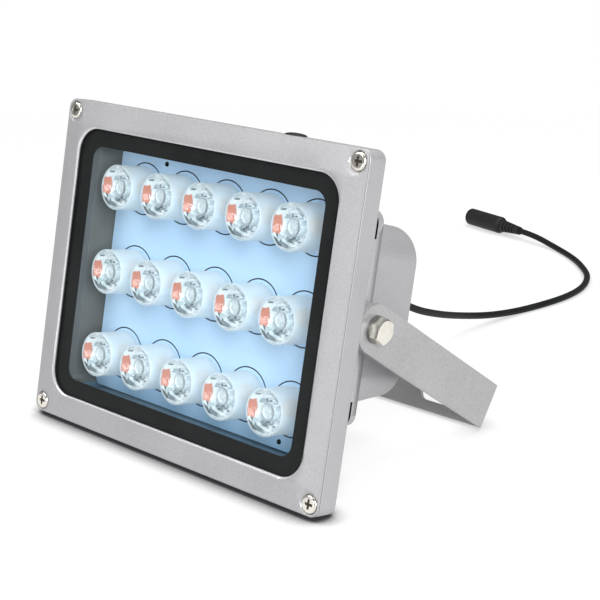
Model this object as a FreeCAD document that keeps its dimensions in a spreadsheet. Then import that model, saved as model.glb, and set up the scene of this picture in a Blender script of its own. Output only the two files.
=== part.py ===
import FreeCAD, Part
import math
import os
import re

import Sketcher
from FreeCAD import Placement, Rotation, Vector

# Outdoor LED floodlight on a U bracket, with fifteen lens LEDs behind a framed glass.
#
# Every length is in millimetres and every angle in degrees. The lamp head is drawn in its
# own frame: X across the face, Y up the face, Z forward out of the glass. A "depth" is the
# distance behind the front of the frame, so it is minus Z. The head's Placement leans it
# back on its lower edge. The bracket's frame has X across, Y from the pivot along the
# arms, Z across the width of the strip. The connector's frame has X along its axis.

SIZES = [
    ("lean", 11.6, "backward lean of the head when it stands on its lower edge"),
    ("face_width", 180, "outer width of the frame and of the housing's flange"),
    ("face_height", 147, "outer height of the frame and of the flange"),
    ("face_corner", 4.5, "outer corner radius of frame and flange"),
    ("edge_round", 0.6, "round on the front outer edge of the frame and on the box"),
    ("flange_round", 2.4, "round on the rear outer edge of the flange"),
    ("seam_front", 0.7, "depth of the front of the groove between frame and flange"),
    ("seam_width", 0.6, "width of the groove"),
    ("seam_deep", 0.7, "depth of the groove from the side"),
    ("seam_play", 0.05, "gap between the frame and the flange's rim"),
    ("seam_bevel", 0.3, "bevel on the flange's rim behind the groove"),
    ("frame_depth", 2.2, "depth of the frame's outer band"),
    ("frame_lip", 1.6, "thickness of the frame over the glass"),
    ("frame_side", 10, "width of the frame's band on the left and right of the window"),
    ("frame_end", 10.5, "width of the frame's band above and below the window"),
    ("window_corner", 9.5, "corner radius of the window"),
    ("window_bevel", 0.7, "bevel round the window"),
    ("glass_overlap", 3.5, "width of the glass behind the frame on each side"),
    ("glass_corner", 10, "corner radius of the glass"),
    ("glass_thick", 3, "thickness of the glass"),
    ("glass_clearance", 0.3, "gap round the edge of the glass"),
    ("gasket_thick", 1, "thickness of both gaskets when pressed"),
    ("glass_gasket_band", 7, "width of the band of the glass gasket"),
    ("flange_depth", 12, "depth of the rear of the flange's skirt"),
    ("skirt_wall", 3.2, "wall of the skirt behind the flange plate"),
    ("plate_rear", 8.2, "depth of the rear of the flange plate"),
    ("barrel_side", 15, "step from the flange to the straight part of the housing at the sides"),
    ("barrel_end", 11.5, "the same step above and below"),
    ("barrel_corner", 12, "corner radius of the straight part"),
    ("barrel_depth", 28, "depth at which the housing starts to taper"),
    ("housing_rear", 41, "depth of the rear face of the housing"),
    ("taper_side", 10, "taper of the housing on each side towards its rear"),
    ("taper_end", 13, "taper of the housing above and below towards its rear"),
    ("housing_rear_corner", 8, "corner radius of the housing at its rear"),
    ("wall_side", 3.5, "wall beside the cavity that holds the LED board"),
    ("wall_end", 3, "wall above and below the cavity"),
    ("cavity_corner", 6, "corner radius of the cavity"),
    ("cavity_floor", 20.6, "depth of the floor of the cavity"),
    ("floor_thick", 4, "thickness of the floor between cavity and chamber"),
    ("chamber_wall_side", 5, "wall beside the rear chamber at the floor"),
    ("chamber_wall", 4, "wall of the rear chamber elsewhere"),
    ("chamber_corner", 6, "corner radius of the rear chamber"),
    ("fin_pitch", 11.5, "spacing of the cooling fins above and below the housing"),
    ("fin_count", 11, "cooling fins in each row"),
    ("fin_thick", 1.8, "thickness of a cooling fin"),
    ("fin_height", 5.5, "height of a fin above the housing"),
    ("pivot_depth", 33.8, "depth of the pivot axis"),
    ("pivot_boss_radius", 10, "radius of the boss under each arm of the bracket"),
    ("pivot_boss_deep", 15, "length of the bosses inside the side of the housing"),
    ("pivot_hole_deep", 12.8, "depth of the tapped holes below the side of the housing"),
    ("pivot_radius", 3, "radius of the pivot bolts' shanks"),
    ("pivot_hole_spare", 0.8, "room in a tapped hole past the end of the shank"),
    ("pivot_head_across", 10, "width across the flats of the bolt heads"),
    ("pivot_head_height", 4, "height of the bolt heads"),
    ("washer_radius", 5.9, "outer radius of the spring washers"),
    ("washer_thick", 1.6, "thickness of the spring washers"),
    ("washer_split", 1.3, "gap of the spring washers"),
    ("running_clearance", 0.08, "radial play of the pivot bolts in the arms"),
    ("side_clearance", 0.05, "play beside each arm of the bracket"),
    ("thread_clearance", 0.05, "radial play of screws in their tapped holes"),
    ("frame_screw_side", 5, "distance of the frame screws from the side of the frame"),
    ("frame_screw_end", 5.2, "distance of the frame screws from its upper and lower edge"),
    ("frame_screw_radius", 2, "radius of the frame and cover screws"),
    ("frame_screw_length", 7.6, "length of a frame screw under its head"),
    ("frame_head_radius", 3.85, "radius of the heads of the frame screws"),
    ("frame_head_height", 1.9, "height of the heads of the frame screws"),
    ("sink_radius", 4.15, "radius of the sinkings for the frame screws"),
    ("sink_depth", 1.3, "depth of the sinkings"),
    ("frame_boss_radius", 4.2, "radius of the screw bosses inside the skirt"),
    ("led_margin_x", 17.5, "distance of the outer LEDs from the side of the board"),
    ("led_margin_y", 17.45, "half of what the board's height leaves beside the rows of LEDs"),
    ("led_columns", 5, "LEDs in a row"),
    ("led_rows", 3, "rows of LEDs"),
    ("led_drop", 0.24, "height of the middle of the LEDs below the middle of the face"),
    ("board_side", 1, "gap between the LED board and the side of the cavity"),
    ("board_end", 3.25, "mean gap between the LED board and the ends of the cavity"),
    ("board_corner", 3, "corner radius of the LED board"),
    ("board_drop", 1.75, "height of the middle of the board below the middle of the face"),
    ("board_thick", 1.6, "thickness of both circuit boards"),
    ("pad_thick", 0.5, "thickness of the thermal pad"),
    ("pad_margin", 1, "distance of the pad's edge inside the board's edge"),
    ("board_pin_a_x", 40.2, "distance of the upper board pin to the left"),
    ("board_pin_a_in", 3.5, "distance of the upper board pin from the edge of the board"),
    ("board_pin_b_x", 48.6, "distance of the lower board pin to the right"),
    ("board_pin_b_in", 3.2, "distance of the lower board pin from the edge of the board"),
    ("board_pin_radius", 1.1, "radius of the pins that place the LED board"),
    ("board_pin_length", 5.2, "length of the pins that place the LED board"),
    ("board_pin_proud", 0.2, "height of the pins above the LED board"),
    ("small_screw_radius", 1.5, "radius of the driver screws"),
    ("small_head_radius", 2.7, "radius of their heads"),
    ("small_head_height", 1.7, "height of their heads"),
    ("small_screw_length", 5, "length of a small screw under its head"),
    ("emitter_radius", 4, "radius of the base of an LED"),
    ("emitter_base", 1.2, "height of the base of an LED"),
    ("emitter_dome", 2.6, "radius and height of the dome of an LED"),
    ("lens_height", 13.3, "height of a lens above the board"),
    ("lens_base_radius", 9.75, "outer radius of a lens at the board"),
    ("lens_top_radius", 10.25, "outer radius of a lens at its front"),
    ("lens_seat_radius", 4.6, "radius of the pocket over the LED"),
    ("lens_seat_depth", 4.2, "depth of the pocket over the LED"),
    ("lens_well_radius", 4.8, "radius of the well in the front of a lens"),
    ("lens_well_floor_radius", 3.6, "radius of the floor of the well"),
    ("lens_well_floor", 8, "height of the floor of the well above the board"),
    ("slot_x", 43, "place of the wire slot in the floor across"),
    ("slot_in", 3.4, "distance of the wire slot from the upper end of the cavity"),
    ("slot_length", 12, "length of the wire slot"),
    ("slot_width", 3, "width of the wire slot"),
    ("sensor_x", 45, "place of the light sensor along the top edge"),
    ("sensor_depth", 7.1, "depth of the middle of the light sensor"),
    ("sensor_radius", 2.1, "radius of the cell of the light sensor"),
    ("sensor_clearance", 0.1, "play of the cell in its hole"),
    ("sensor_hole_deep", 5.5, "depth of the hole for the cell"),
    ("sensor_cap_radius", 4.7, "radius of the cap of the light sensor"),
    ("sensor_cap_height", 1.1, "height of the cap of the light sensor"),
    ("sensor_lead_depth", 10.2, "depth at which the sensor's lead runs down"),
    ("sensor_lead_x", 43.4, "place of the sensor's lead across"),
    ("driver_width", 88, "width of the driver board"),
    ("driver_height", 56, "height of the driver board"),
    ("standoff_height", 10, "height of the standoffs under the driver board"),
    ("standoff_across", 5.5, "width across the flats of the standoffs"),
    ("standoff_stud", 3, "length of the stud under a standoff"),
    ("standoff_x", 39, "half spacing of the standoffs across"),
    ("standoff_y", 23, "half spacing of the standoffs up the face"),
    ("capacitor_radius", 5, "radius of the driver's capacitors"),
    ("capacitor_height", 16, "height of the driver's capacitors"),
    ("inductor_radius", 7, "radius of the driver's inductor"),
    ("inductor_height", 9, "height of the driver's inductor"),
    ("lead_radius", 0.6, "radius of the insulated leads"),
    ("cover_side", 1, "step from the housing to the base of the rear cover at the sides"),
    ("cover_end", 2, "the same step above and below"),
    ("cover_corner", 6, "corner radius of the base of the rear cover"),
    ("cover_base_rear", 47.8, "depth of the rear of the cover's base"),
    ("cover_screw_in", 6, "distance of the cover screws from the edges of the cover"),
    ("cover_head_radius", 3.5, "radius of the heads of the cover screws"),
    ("cover_head_height", 2.4, "height of the heads of the cover screws"),
    ("cover_screw_length", 14, "length of a cover screw under its head"),
    ("cover_column_radius", 5, "radius of the columns for the cover screws"),
    ("cover_slot_rear", 44.3, "depth of the rear of the slots in the cover's corners"),
    ("cover_slot_reach", 9.5, "length of the slots in from the side of the cover"),
    ("cover_slot_width", 9.5, "width of the slots up the face"),
    ("cover_slot_in", 2.5, "distance of the slots from the upper and lower edge of the cover"),
    ("box_side", 8, "step from the side of the cover to the rear of its box"),
    ("box_end", 8.15, "the same step above and below"),
    ("box_drop", 1.6, "height of the middle of the box below the middle of the face"),
    ("box_draft", 3.5, "growth of the box on each side towards its base"),
    ("box_corner", 15.4, "radius of the long corners of the box at its rear"),
    ("box_rear", 86.4, "depth of the rear face of the box"),
    ("box_edge", 2.4, "round between the rear face and the sides of the box"),
    ("box_wall", 3, "wall of the box"),
    ("cover_gasket_margin", 0.5, "distance of the gasket's edge inside the cover's edge"),
    ("cover_gasket_band", 7.5, "width of the band of the cover gasket"),
    ("gland_hex", 13, "width across the flats of the gland"),
    ("gland_hex_height", 4, "height of the gland's fixed hexagon"),
    ("gland_thread_radius", 5, "radius of the gland's thread"),
    ("gland_thread_length", 9, "length of the thread inside the cover"),
    ("gland_neck_radius", 4.7, "radius of the gland's neck"),
    ("gland_neck_length", 8, "length of the gland's neck"),
    ("gland_nut_length", 8.5, "length of the hexagon of the gland's nut"),
    ("gland_nut_gap", 0.4, "gap between nut and fixed hexagon"),
    ("gland_dome", 6, "length of the dome of the gland's nut"),
    ("gland_seal_length", 3.4, "length of the gland's seal"),
    ("gland_bore", 2.15, "radius of the bore for the cord"),
    ("locknut_height", 3.5, "height of the gland's locknut"),
    ("cord_radius", 1.9, "radius of the cord"),
    ("cord_fit", 0.02, "radial play of the cord in the seal and the connector"),
    ("cord_inner_end", 73, "depth at which the cord ends inside the cover"),
    ("cord_split", 0.05, "gap between the two lengths of cord, which move apart"),
    ("cord_tail_reach", 84, "distance from the pivot at which the cord leaves the head"),
    ("cord_lift", 0.05, "gap under the cord where it lies on the ground"),
    ("strip_width", 21, "width of the bracket's strip"),
    ("strip_thick", 2.5, "thickness of the bracket's strip"),
    ("arm_gap", 1.2, "gap between the side of the housing and the arms"),
    ("bracket_reach", 103, "distance from the pivot to the outer face of the crossbar"),
    ("bracket_bend", 1.5, "inner radius of the bracket's bends"),
    ("bracket_slot_length", 24, "length of the slots in the crossbar"),
    ("bracket_slot_edge", 13.2, "distance of the slots from the inner faces of the arms"),
    ("bracket_slot_width", 11, "width of the slots in the crossbar"),
    ("bracket_hole_radius", 5, "radius of the hole in the middle of the crossbar"),
    ("connector_x", -107.8, "place of the cord's end on the ground, across"),
    ("connector_y", 354.8, "place of the cord's end on the ground, to the rear"),
    ("connector_heading", 167.2, "direction in which the connector points"),
    ("connector_radius", 5.75, "radius of the connector's body"),
    ("connector_length", 33, "length of the connector's body"),
    ("relief_length", 17.8, "length of the strain relief"),
    ("relief_start_radius", 2.7, "radius of the strain relief at the cord"),
    ("relief_end_radius", 4.3, "radius of the strain relief at the connector"),
    ("socket_radius", 3.6, "radius of the socket in the connector"),
    ("socket_deep", 11, "depth of the socket in the connector"),
    ("sleeve_wall", 0.5, "wall of the socket's contact sleeve"),
    ("sleeve_length", 9.5, "length of the contact sleeve"),
    ("pin_radius", 1.05, "radius of the centre pin"),
    ("pin_length", 9.2, "length of the centre pin"),
]

# Sizes that follow from others, written in the same sheet as formulas.
FORMULAS = [
    ("window_width", "=face_width - 2 * frame_side", "width of the window"),
    ("window_height", "=face_height - 2 * frame_end", "height of the window"),
    ("glass_width", "=window_width + 2 * glass_overlap", "width of the glass"),
    ("glass_height", "=window_height + 2 * glass_overlap", "height of the glass"),
    ("barrel_width", "=face_width - 2 * barrel_side", "width of the housing"),
    ("barrel_height", "=face_height - 2 * barrel_end", "height of the housing"),
    ("housing_rear_width", "=barrel_width - 2 * taper_side", "width of its rear"),
    ("housing_rear_height", "=barrel_height - 2 * taper_end", "height of its rear"),
    ("cavity_width", "=barrel_width - 2 * wall_side", "width of the cavity"),
    ("cavity_height", "=barrel_height - 2 * wall_end", "height of the cavity"),
    ("chamber_front_width", "=barrel_width - 2 * chamber_wall_side",
     "width of the rear chamber at the floor"),
    ("chamber_front_height", "=barrel_height - 2 * chamber_wall",
     "height of the rear chamber at the floor"),
    ("chamber_rear_width", "=housing_rear_width - 2 * chamber_wall",
     "width of the rear chamber at its mouth"),
    ("chamber_rear_height", "=housing_rear_height - 2 * chamber_wall",
     "height of the rear chamber at its mouth"),
    ("fin_reach", "=barrel_height / 2 + fin_height", "height of a fin's edge"),
    ("pivot_boss_inner", "=barrel_width / 2 - pivot_boss_deep", "inner end of a boss"),
    ("pivot_hole_end", "=barrel_width / 2 - pivot_hole_deep", "end of a tapped hole"),
    ("pivot_shank_end", "=pivot_hole_end + pivot_hole_spare", "end of a bolt's shank"),
    ("frame_screw_x", "=face_width / 2 - frame_screw_side", "place of a frame screw across"),
    ("frame_screw_y", "=face_height / 2 - frame_screw_end", "its place up the face"),
    ("board_width", "=cavity_width - 2 * board_side", "width of the LED board"),
    ("board_height", "=cavity_height - 2 * board_end", "height of the LED board"),
    ("led_pitch_x", "=(board_width - 2 * led_margin_x) / (led_columns - 1)",
     "spacing of the LEDs across"),
    ("led_pitch_y", "=(board_height - 2 * led_margin_y) / (led_rows - 1)",
     "spacing of the LEDs up the face"),
    ("board_pin_a_y", "=board_height / 2 - board_drop - board_pin_a_in",
     "height of the upper board pin"),
    ("board_pin_b_y", "=board_height / 2 + board_drop - board_pin_b_in",
     "distance of the lower board pin below the middle"),
    ("slot_y", "=cavity_height / 2 - slot_in", "place of the wire slot up the face"),
    ("cover_width", "=housing_rear_width - 2 * cover_side", "width of the cover's base"),
    ("cover_height", "=housing_rear_height - 2 * cover_end", "height of the cover's base"),
    ("cover_screw_x", "=cover_width / 2 - cover_screw_in", "place of a cover screw across"),
    ("cover_screw_y", "=cover_height / 2 - cover_screw_in", "its place up the face"),
    ("cover_slot_inner", "=cover_width / 2 - cover_slot_reach", "inner end of a slot"),
    ("cover_slot_high", "=cover_height / 2 - cover_slot_in", "upper side of a slot"),
    ("cover_slot_low", "=cover_slot_high - cover_slot_width", "lower side of a slot"),
    ("box_width", "=cover_width - 2 * box_side", "width of the box at its rear"),
    ("box_height", "=cover_height - 2 * box_end", "height of the box at its rear"),
    ("bracket_inner", "=barrel_width + 2 * arm_gap", "distance between the arms"),
    ("bracket_slot_far", "=bracket_inner / 2 - bracket_slot_edge", "outer end of a slot"),
    ("bracket_slot_near", "=bracket_slot_far - bracket_slot_length", "inner end of a slot"),
]

doc = FreeCAD.newDocument("floodlight")
sheet = doc.addObject("Spreadsheet::Sheet", "Sizes")
for row, (word, value, note) in enumerate(SIZES + FORMULAS, start=1):
    sheet.set(f"A{row}", word)
    sheet.set(f"B{row}", str(value))
    sheet.set(f"C{row}", note)
    sheet.setAlias(f"B{row}", word)
doc.recompute()

NAMES = {word for word, value, note in SIZES + FORMULAS}
WIDE = Vector(1, 0, 0)
TALL = Vector(0, 0, 1)
nodes = []


def ref(text):
    """Give the expression with each size name pointing at its cell."""
    return re.sub(r"[a-z_]+", lambda m: f"Sizes.{m[0]}" if m[0] in NAMES else m[0], text)


def number(text):
    """Give the value of an expression of size names."""
    value = sheet.evalExpression(ref(text))
    return float(getattr(value, "Value", value))


# Depths and places that follow from the sizes.
GLASS_REAR = "(frame_lip + glass_thick)"
GLASS_SEAT = "(frame_lip + glass_thick + gasket_thick)"
BOARD_REAR = "(cavity_floor - pad_thick)"
BOARD_FRONT = "(cavity_floor - pad_thick - board_thick)"
CHAMBER_FLOOR = "(cavity_floor + floor_thick)"
DRIVER_FRONT = "(cavity_floor + floor_thick + standoff_height)"
DRIVER_REAR = "(cavity_floor + floor_thick + standoff_height + board_thick)"
COVER_FRONT = "(housing_rear + gasket_thick)"
SEAM_REAR = "(seam_front + seam_width)"
BOX_INNER = "(box_rear - box_wall)"
GLAND_NUT = "(box_rear + gland_hex_height + gland_nut_gap)"
GLAND_END = "(box_rear + gland_hex_height + gland_nut_gap + gland_nut_length + gland_dome)"
BOSS_END = "(bracket_inner / 2 - side_clearance)"
WASHER_SEAT = "(bracket_inner / 2 + strip_thick + side_clearance)"
HEAD_SEAT = "(bracket_inner / 2 + strip_thick + side_clearance + washer_thick)"
HALF_HEIGHT = "(face_height / 2)"
BOARD_PINS = [("-1 * board_pin_a_x", "board_pin_a_y"),
              ("board_pin_b_x", "-1 * board_pin_b_y")]
CONNECTOR_AXIS = "(connector_radius + cord_lift)"

# The head stands on its lower rear edge. The bracket drops until the lower edge of its
# crossbar is on the ground too, and the whole stands centred over the origin.
HEAD_Z = ("((flange_depth - flange_round) * sin(lean)"
          " + (face_height / 2 - flange_round) * cos(lean) + flange_round)")
PIVOT_HEIGHT = f"({HEAD_Z} - pivot_depth * sin(lean))"
DROP = (f"(asin({PIVOT_HEIGHT} / sqrt(bracket_reach ^ 2 + strip_width ^ 2 / 4))"
        " - atan(strip_width / 2 / bracket_reach))")
FRONT_EDGE = ("(edge_round * cos(lean) - (face_height / 2 - edge_round) * sin(lean)"
              " - edge_round)")
REAR_EDGE = (f"(pivot_depth * cos(lean) + bracket_reach * cos({DROP})"
             f" + strip_width / 2 * sin({DROP}))")
HEAD_Y = f"(-({FRONT_EDGE} + {REAR_EDGE}) / 2)"
PIVOT_Y = f"({HEAD_Y} + pivot_depth * cos(lean))"


def new_body(name, place, axis, angle):
    """Start a body with its Placement bound to the sizes."""
    body = doc.addObject("PartDesign::Body", name)
    body.Label = name
    body.Placement = Placement(Vector(), Rotation(axis, 1))
    body.setExpression("Placement.Rotation.Angle", ref(angle))
    for letter, text in zip("xyz", place):
        body.setExpression(f"Placement.Base.{letter}", ref(text))
    nodes.append(body)
    return body


def head_body(name):
    """Start a body in the head's frame."""
    return new_body(name, ("0", HEAD_Y, HEAD_Z), WIDE, "90 - lean")


def origin_part(body, role):
    """Give one plane or axis of the body's own origin."""
    return next(f for f in body.Origin.OriginFeatures if f.Role == role)


def sketch(body, name, role, shift=("0", "0", "0")):
    """Start a sketch on a plane of the body's origin, moved by bound distances."""
    item = body.newObject("Sketcher::SketchObject", f"{body.Name}_{name}_sketch")
    item.AttachmentSupport = [(origin_part(body, role), "")]
    item.MapMode = "FlatFace"
    for letter, text in zip("xyz", shift):
        item.setExpression(f"AttachmentOffset.Base.{letter}", ref(text))
    return item


def hold(item, kind, where, text):
    """Add a constraint whose value is an expression."""
    index = item.addConstraint(Sketcher.Constraint(kind, *where, number(text)))
    item.setExpression(f"Constraints[{index}]", ref(text))


def pin(item, shape, vertex, x, y):
    """Hold a point of the sketch at a place measured from the sketch's origin."""
    hold(item, "DistanceX", (-1, 1, shape, vertex), x)
    hold(item, "DistanceY", (-1, 1, shape, vertex), y)


def disc(item, radius, x="0", y="0"):
    """Draw a circle."""
    circle = Part.Circle(Vector(number(x), number(y), 0), TALL, number(radius))
    shape = item.addGeometry(circle, False)
    pin(item, shape, 3, x, y)
    hold(item, "Radius", (shape,), radius)


def contour(item, corners):
    """Draw a closed outline; a square corner given with a radius is rounded."""
    count = len(corners)
    places = [Vector(number(c[0]), number(c[1]), 0) for c in corners]
    arrive = {}
    leave = {}
    for k, corner in enumerate(corners):
        if len(corner) < 3:
            arrive[k] = leave[k] = (None, places[k])
            continue
        x, y, radius = corner
        size = number(radius)
        back = (places[k - 1] - places[k]).normalize()
        ahead = (places[(k + 1) % count] - places[k]).normalize()
        centre = places[k] + (back + ahead) * size
        ends = [places[k] + back * size, places[k] + ahead * size]
        left_turn = back.cross(ahead).z < 0
        first, last = ends if left_turn else ends[::-1]
        angles = [math.atan2(p.y - centre.y, p.x - centre.x) for p in (first, last)]
        circle = Part.Circle(centre, TALL, size)
        arc = item.addGeometry(Part.ArcOfCircle(circle, *angles), False)
        side_x = round(back.x + ahead.x)
        side_y = round(back.y + ahead.y)
        pin(item, arc, 3, f"{x} + {side_x} * {radius}", f"{y} + {side_y} * {radius}")
        hold(item, "Radius", (arc,), radius)
        arrive[k] = ((arc, 1 if left_turn else 2), ends[0])
        leave[k] = ((arc, 2 if left_turn else 1), ends[1])
    lines = []
    for k in range(count):
        begin, end = leave[k][1], arrive[(k + 1) % count][1]
        lines.append(item.addGeometry(Part.LineSegment(begin, end), False))
    for k in range(count):
        if leave[k][0] is None:
            item.addConstraint(Sketcher.Constraint("Coincident", lines[k - 1], 2, lines[k], 1))
            pin(item, lines[k], 1, corners[k][0], corners[k][1])
            continue
        item.addConstraint(Sketcher.Constraint("Tangent", lines[k - 1], 2, *arrive[k][0]))
        item.addConstraint(Sketcher.Constraint("Tangent", *leave[k][0], lines[k], 1))


def box(item, width, height, x="0", y="0", corner=None):
    """Draw a rectangle about a middle, with its corners rounded if asked."""
    tail = (corner,) if corner else ()
    signs = ((1, 1), (-1, 1), (-1, -1), (1, -1))
    contour(item, [(f"{x} + {sx} * {width} / 2", f"{y} + {sy} * {height} / 2", *tail)
                   for sx, sy in signs])


def hexagon(item, across, x="0", y="0"):
    """Draw a hexagon with two flats parallel to the sketch's X axis."""
    turns = ((2, 0), (1, 1), (-1, 1), (-2, 0), (-1, -1), (1, -1))
    contour(item, [(f"{x} + {a} * {across} / 2 / sqrt(3)", f"{y} + {b} * {across} / 2")
                   for a, b in turns])


def four(x, y):
    """Give the four mirror places of a point."""
    return [(f"{sx} * {x}", f"{sy} * {y}") for sx in (1, -1) for sy in (1, -1)]


def discs(item, radius, places):
    """Draw equal circles at several places."""
    for x, y in places:
        disc(item, radius, x, y)


def extrude(kind, body, name, item, length, reverse=False):
    """Add a pad or a pocket of a sketch."""
    feature = body.newObject(kind, f"{body.Name}_{name}")
    feature.Profile = item
    feature.setExpression("Length", ref(length))
    feature.Reversed = reverse
    item.Visibility = False
    return feature


def pad(body, name, draw, front, rear):
    """Add material of a drawn outline between two depths."""
    item = sketch(body, name, "XY_Plane", ("0", "0", f"-1 * {rear}"))
    draw(item)
    return extrude("PartDesign::Pad", body, name, item, f"{rear} - {front}")


def cut(body, name, draw, front, rear):
    """Remove a drawn outline between two depths."""
    item = sketch(body, name, "XY_Plane", ("0", "0", f"-1 * {front}"))
    draw(item)
    return extrude("PartDesign::Pocket", body, name, item, f"{rear} - {front}")


def spin(body, name, corners, x="0", y="0", kind="PartDesign::Revolution"):
    """Turn an outline of (radius, Z) about an axis along Z at a place of the face."""
    item = sketch(body, name, "XZ_Plane", (x, "0", f"-1 * {y}"))
    contour(item, corners)
    feature = body.newObject(kind, f"{body.Name}_{name}")
    feature.Profile = item
    feature.ReferenceAxis = (item, ["V_Axis"])
    feature.Angle = 360
    item.Visibility = False
    return feature


def spin_wide(body, name, corners, depth="0", kind="PartDesign::Revolution"):
    """Turn an outline of (X, radius) about an axis along X at a depth."""
    item = sketch(body, name, "XY_Plane", ("0", "0", f"-1 * {depth}"))
    contour(item, corners)
    feature = body.newObject(kind, f"{body.Name}_{name}")
    feature.Profile = item
    feature.ReferenceAxis = (item, ["H_Axis"])
    feature.Angle = 360
    item.Visibility = False
    return feature


def loft(kind, body, name, sections):
    """Join outlines drawn at several depths."""
    items = []
    for step, (depth, draw) in enumerate(sections):
        item = sketch(body, f"{name}{step}", "XY_Plane", ("0", "0", f"-1 * {depth}"))
        draw(item)
        item.Visibility = False
        items.append(item)
    feature = body.newObject(kind, f"{body.Name}_{name}")
    feature.Profile = items[0]
    feature.Sections = items[1:]
    feature.Ruled = True
    return feature


def mirror(body, name, plane):
    """Prepare a mirror step."""
    step = body.newObject("PartDesign::Mirrored", f"{body.Name}_{name}")
    step.MirrorPlane = (origin_part(body, plane), [""])
    return step


def row_of(body, name, axis, count, pitch):
    """Prepare a row of equal steps."""
    step = body.newObject("PartDesign::LinearPattern", f"{body.Name}_{name}")
    step.Direction = (origin_part(body, axis), [""])
    step.setExpression("Length", ref(f"({count} - 1) * {pitch}"))
    step.setExpression("Occurrences", ref(count))
    return step


def repeat(body, name, features, steps):
    """Repeat features by mirrors and rows."""
    item = body.newObject("PartDesign::MultiTransform", f"{body.Name}_{name}")
    item.Originals = features
    made = [mirror(body, f"{name}{k}", s[1]) if s[0] == "mirror"
            else row_of(body, f"{name}{k}", *s[1:]) for k, s in enumerate(steps)]
    item.Transformations = made
    body.Tip = item
    return item


def dress(kind, body, name, base, size, test):
    """Round or bevel the edges whose points all pass a test."""
    doc.recompute()
    chosen = []
    for k, edge in enumerate(base.Shape.Edges, start=1):
        if all(test(p) for p in edge.discretize(5)):
            chosen.append(f"Edge{k}")
    feature = body.newObject(kind, f"{body.Name}_{name}")
    feature.Base = (base, chosen)
    feature.setExpression("Radius" if kind.endswith("Fillet") else "Size", ref(size))
    return feature


def near(value, text):
    """Tell whether a coordinate is at a value."""
    return abs(value - number(text)) < 1e-3


def cross(item, reach, half, x, y):
    """Draw the cross of a screw's recess."""
    turns = ((reach, half), (half, half), (half, reach))
    places = []
    for sx, sy, flip in ((1, 1, 0), (-1, 1, 1), (-1, -1, 0), (1, -1, 1)):
        some = turns[::-1] if flip else turns
        places += [(f"{x} + {sx} * {a}", f"{y} + {sy} * {b}") for a, b in some]
    contour(item, places)


def screw(body, name, x, y, seat, size, length, to_rear=False):
    """Add a pan-head screw; size is (shank radius, head radius, head height)."""
    shank, head, tall = size
    way = "-1" if to_rear else "1"
    top = f"({way} * {tall} - {seat})"
    end = f"(-1 * {way} * {length} - {seat})"
    corners = [("0", end), (shank, end), (shank, f"-1 * {seat}"), (head, f"-1 * {seat}"),
               (head, top, f"0.6 * {tall}"), ("0", top)]
    solid = spin(body, name, corners, x, y)
    item = sketch(body, f"{name}_recess", "XY_Plane", ("0", "0", top))
    cross(item, f"0.42 * {head}", f"0.11 * {head}", x, y)
    recess = extrude("PartDesign::Pocket", body, f"{name}_recess", item,
                     f"0.62 * {tall}", to_rear)
    return [solid, recess]


def route(points):
    """Join points by straight runs and tangent arcs, and give the wire."""
    edges = []
    radii = []
    start = points[0]
    for before, corner, after in zip(points, points[1:], points[2:]):
        one = (before - corner).normalize()
        two = (after - corner).normalize()
        half_turn = (math.pi - one.getAngle(two)) / 2
        trim = 0.45 * min((before - corner).Length, (after - corner).Length)
        radii.append(trim / math.tan(half_turn))
        first = corner + one * trim
        last = corner + two * trim
        inward = (one + two).normalize()
        centre = corner + inward * (radii[-1] / math.cos(half_turn))
        middle = centre - inward * radii[-1]
        edges.append(Part.LineSegment(start, first).toShape())
        edges.append(Part.Arc(first, middle, last).toShape())
        start = last
    edges.append(Part.LineSegment(start, points[-1]).toShape())
    return Part.Wire(edges), radii


def tube(points, radius):
    """Make a round tube along a route."""
    path, radii = route(points)
    way = points[1] - points[0]
    section = Part.Wire(Part.Circle(points[0], way, radius).toShape())
    solid = path.makePipeShell([section], True, False)
    expected = math.pi * radius ** 2 * path.Length
    print(f"tube: length {path.Length:.1f}, smallest bend {min(radii, default=0):.1f}, "
          f"volume {solid.Volume / expected:.4f} of the section times the length")
    return solid


def tubes(name, paths, radius, place):
    """Make one object of tubes, each given by its points as triples."""
    solids = [tube([Vector(*p) for p in path], radius) for path in paths]
    item = doc.addObject("Part::Feature", name)
    item.Label = name
    item.Shape = solids[0] if len(solids) == 1 else Part.makeCompound(solids)
    item.Placement = place
    nodes.append(item)
    return item


def build_frame():
    """Make the frame that holds the glass."""
    body = head_body("front_frame")
    plate = pad(body, "plate", lambda s: box(s, "face_width", "face_height",
                corner="face_corner"), "0", "frame_depth")
    rounded = dress("PartDesign::Fillet", body, "edge", plate, "edge_round",
                    lambda p: abs(p.z) < 1e-3)
    cut(body, "window", lambda s: box(s, "window_width", "window_height",
        corner="window_corner"), "0", "frame_depth")
    rebate = cut(body, "rebate", lambda s: box(s, "(glass_width + 2 * glass_clearance)",
                 "(glass_height + 2 * glass_clearance)", corner="glass_corner"),
                 "frame_lip", "frame_depth")
    half_wide = number("window_width / 2") + 0.01
    half_high = number("window_height / 2") + 0.01
    dress("PartDesign::Chamfer", body, "bevel", rebate, "window_bevel",
          lambda p: abs(p.z) < 1e-3 and abs(p.x) < half_wide and abs(p.y) < half_high)

    def step(s):
        box(s, "(face_width + 2)", "(face_height + 2)")
        box(s, "(face_width - 2 * seam_deep - 2 * seam_play)",
            "(face_height - 2 * seam_deep - 2 * seam_play)", corner="(face_corner - seam_deep)")

    cut(body, "step", step, "seam_front", "frame_depth")
    places = four("frame_screw_x", "frame_screw_y")
    cut(body, "sinkings", lambda s: discs(s, "sink_radius", places), "0", "sink_depth")
    cut(body, "holes", lambda s: discs(s, "(frame_screw_radius + 0.25)", places),
        "sink_depth", "frame_depth")
    return rounded


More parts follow.
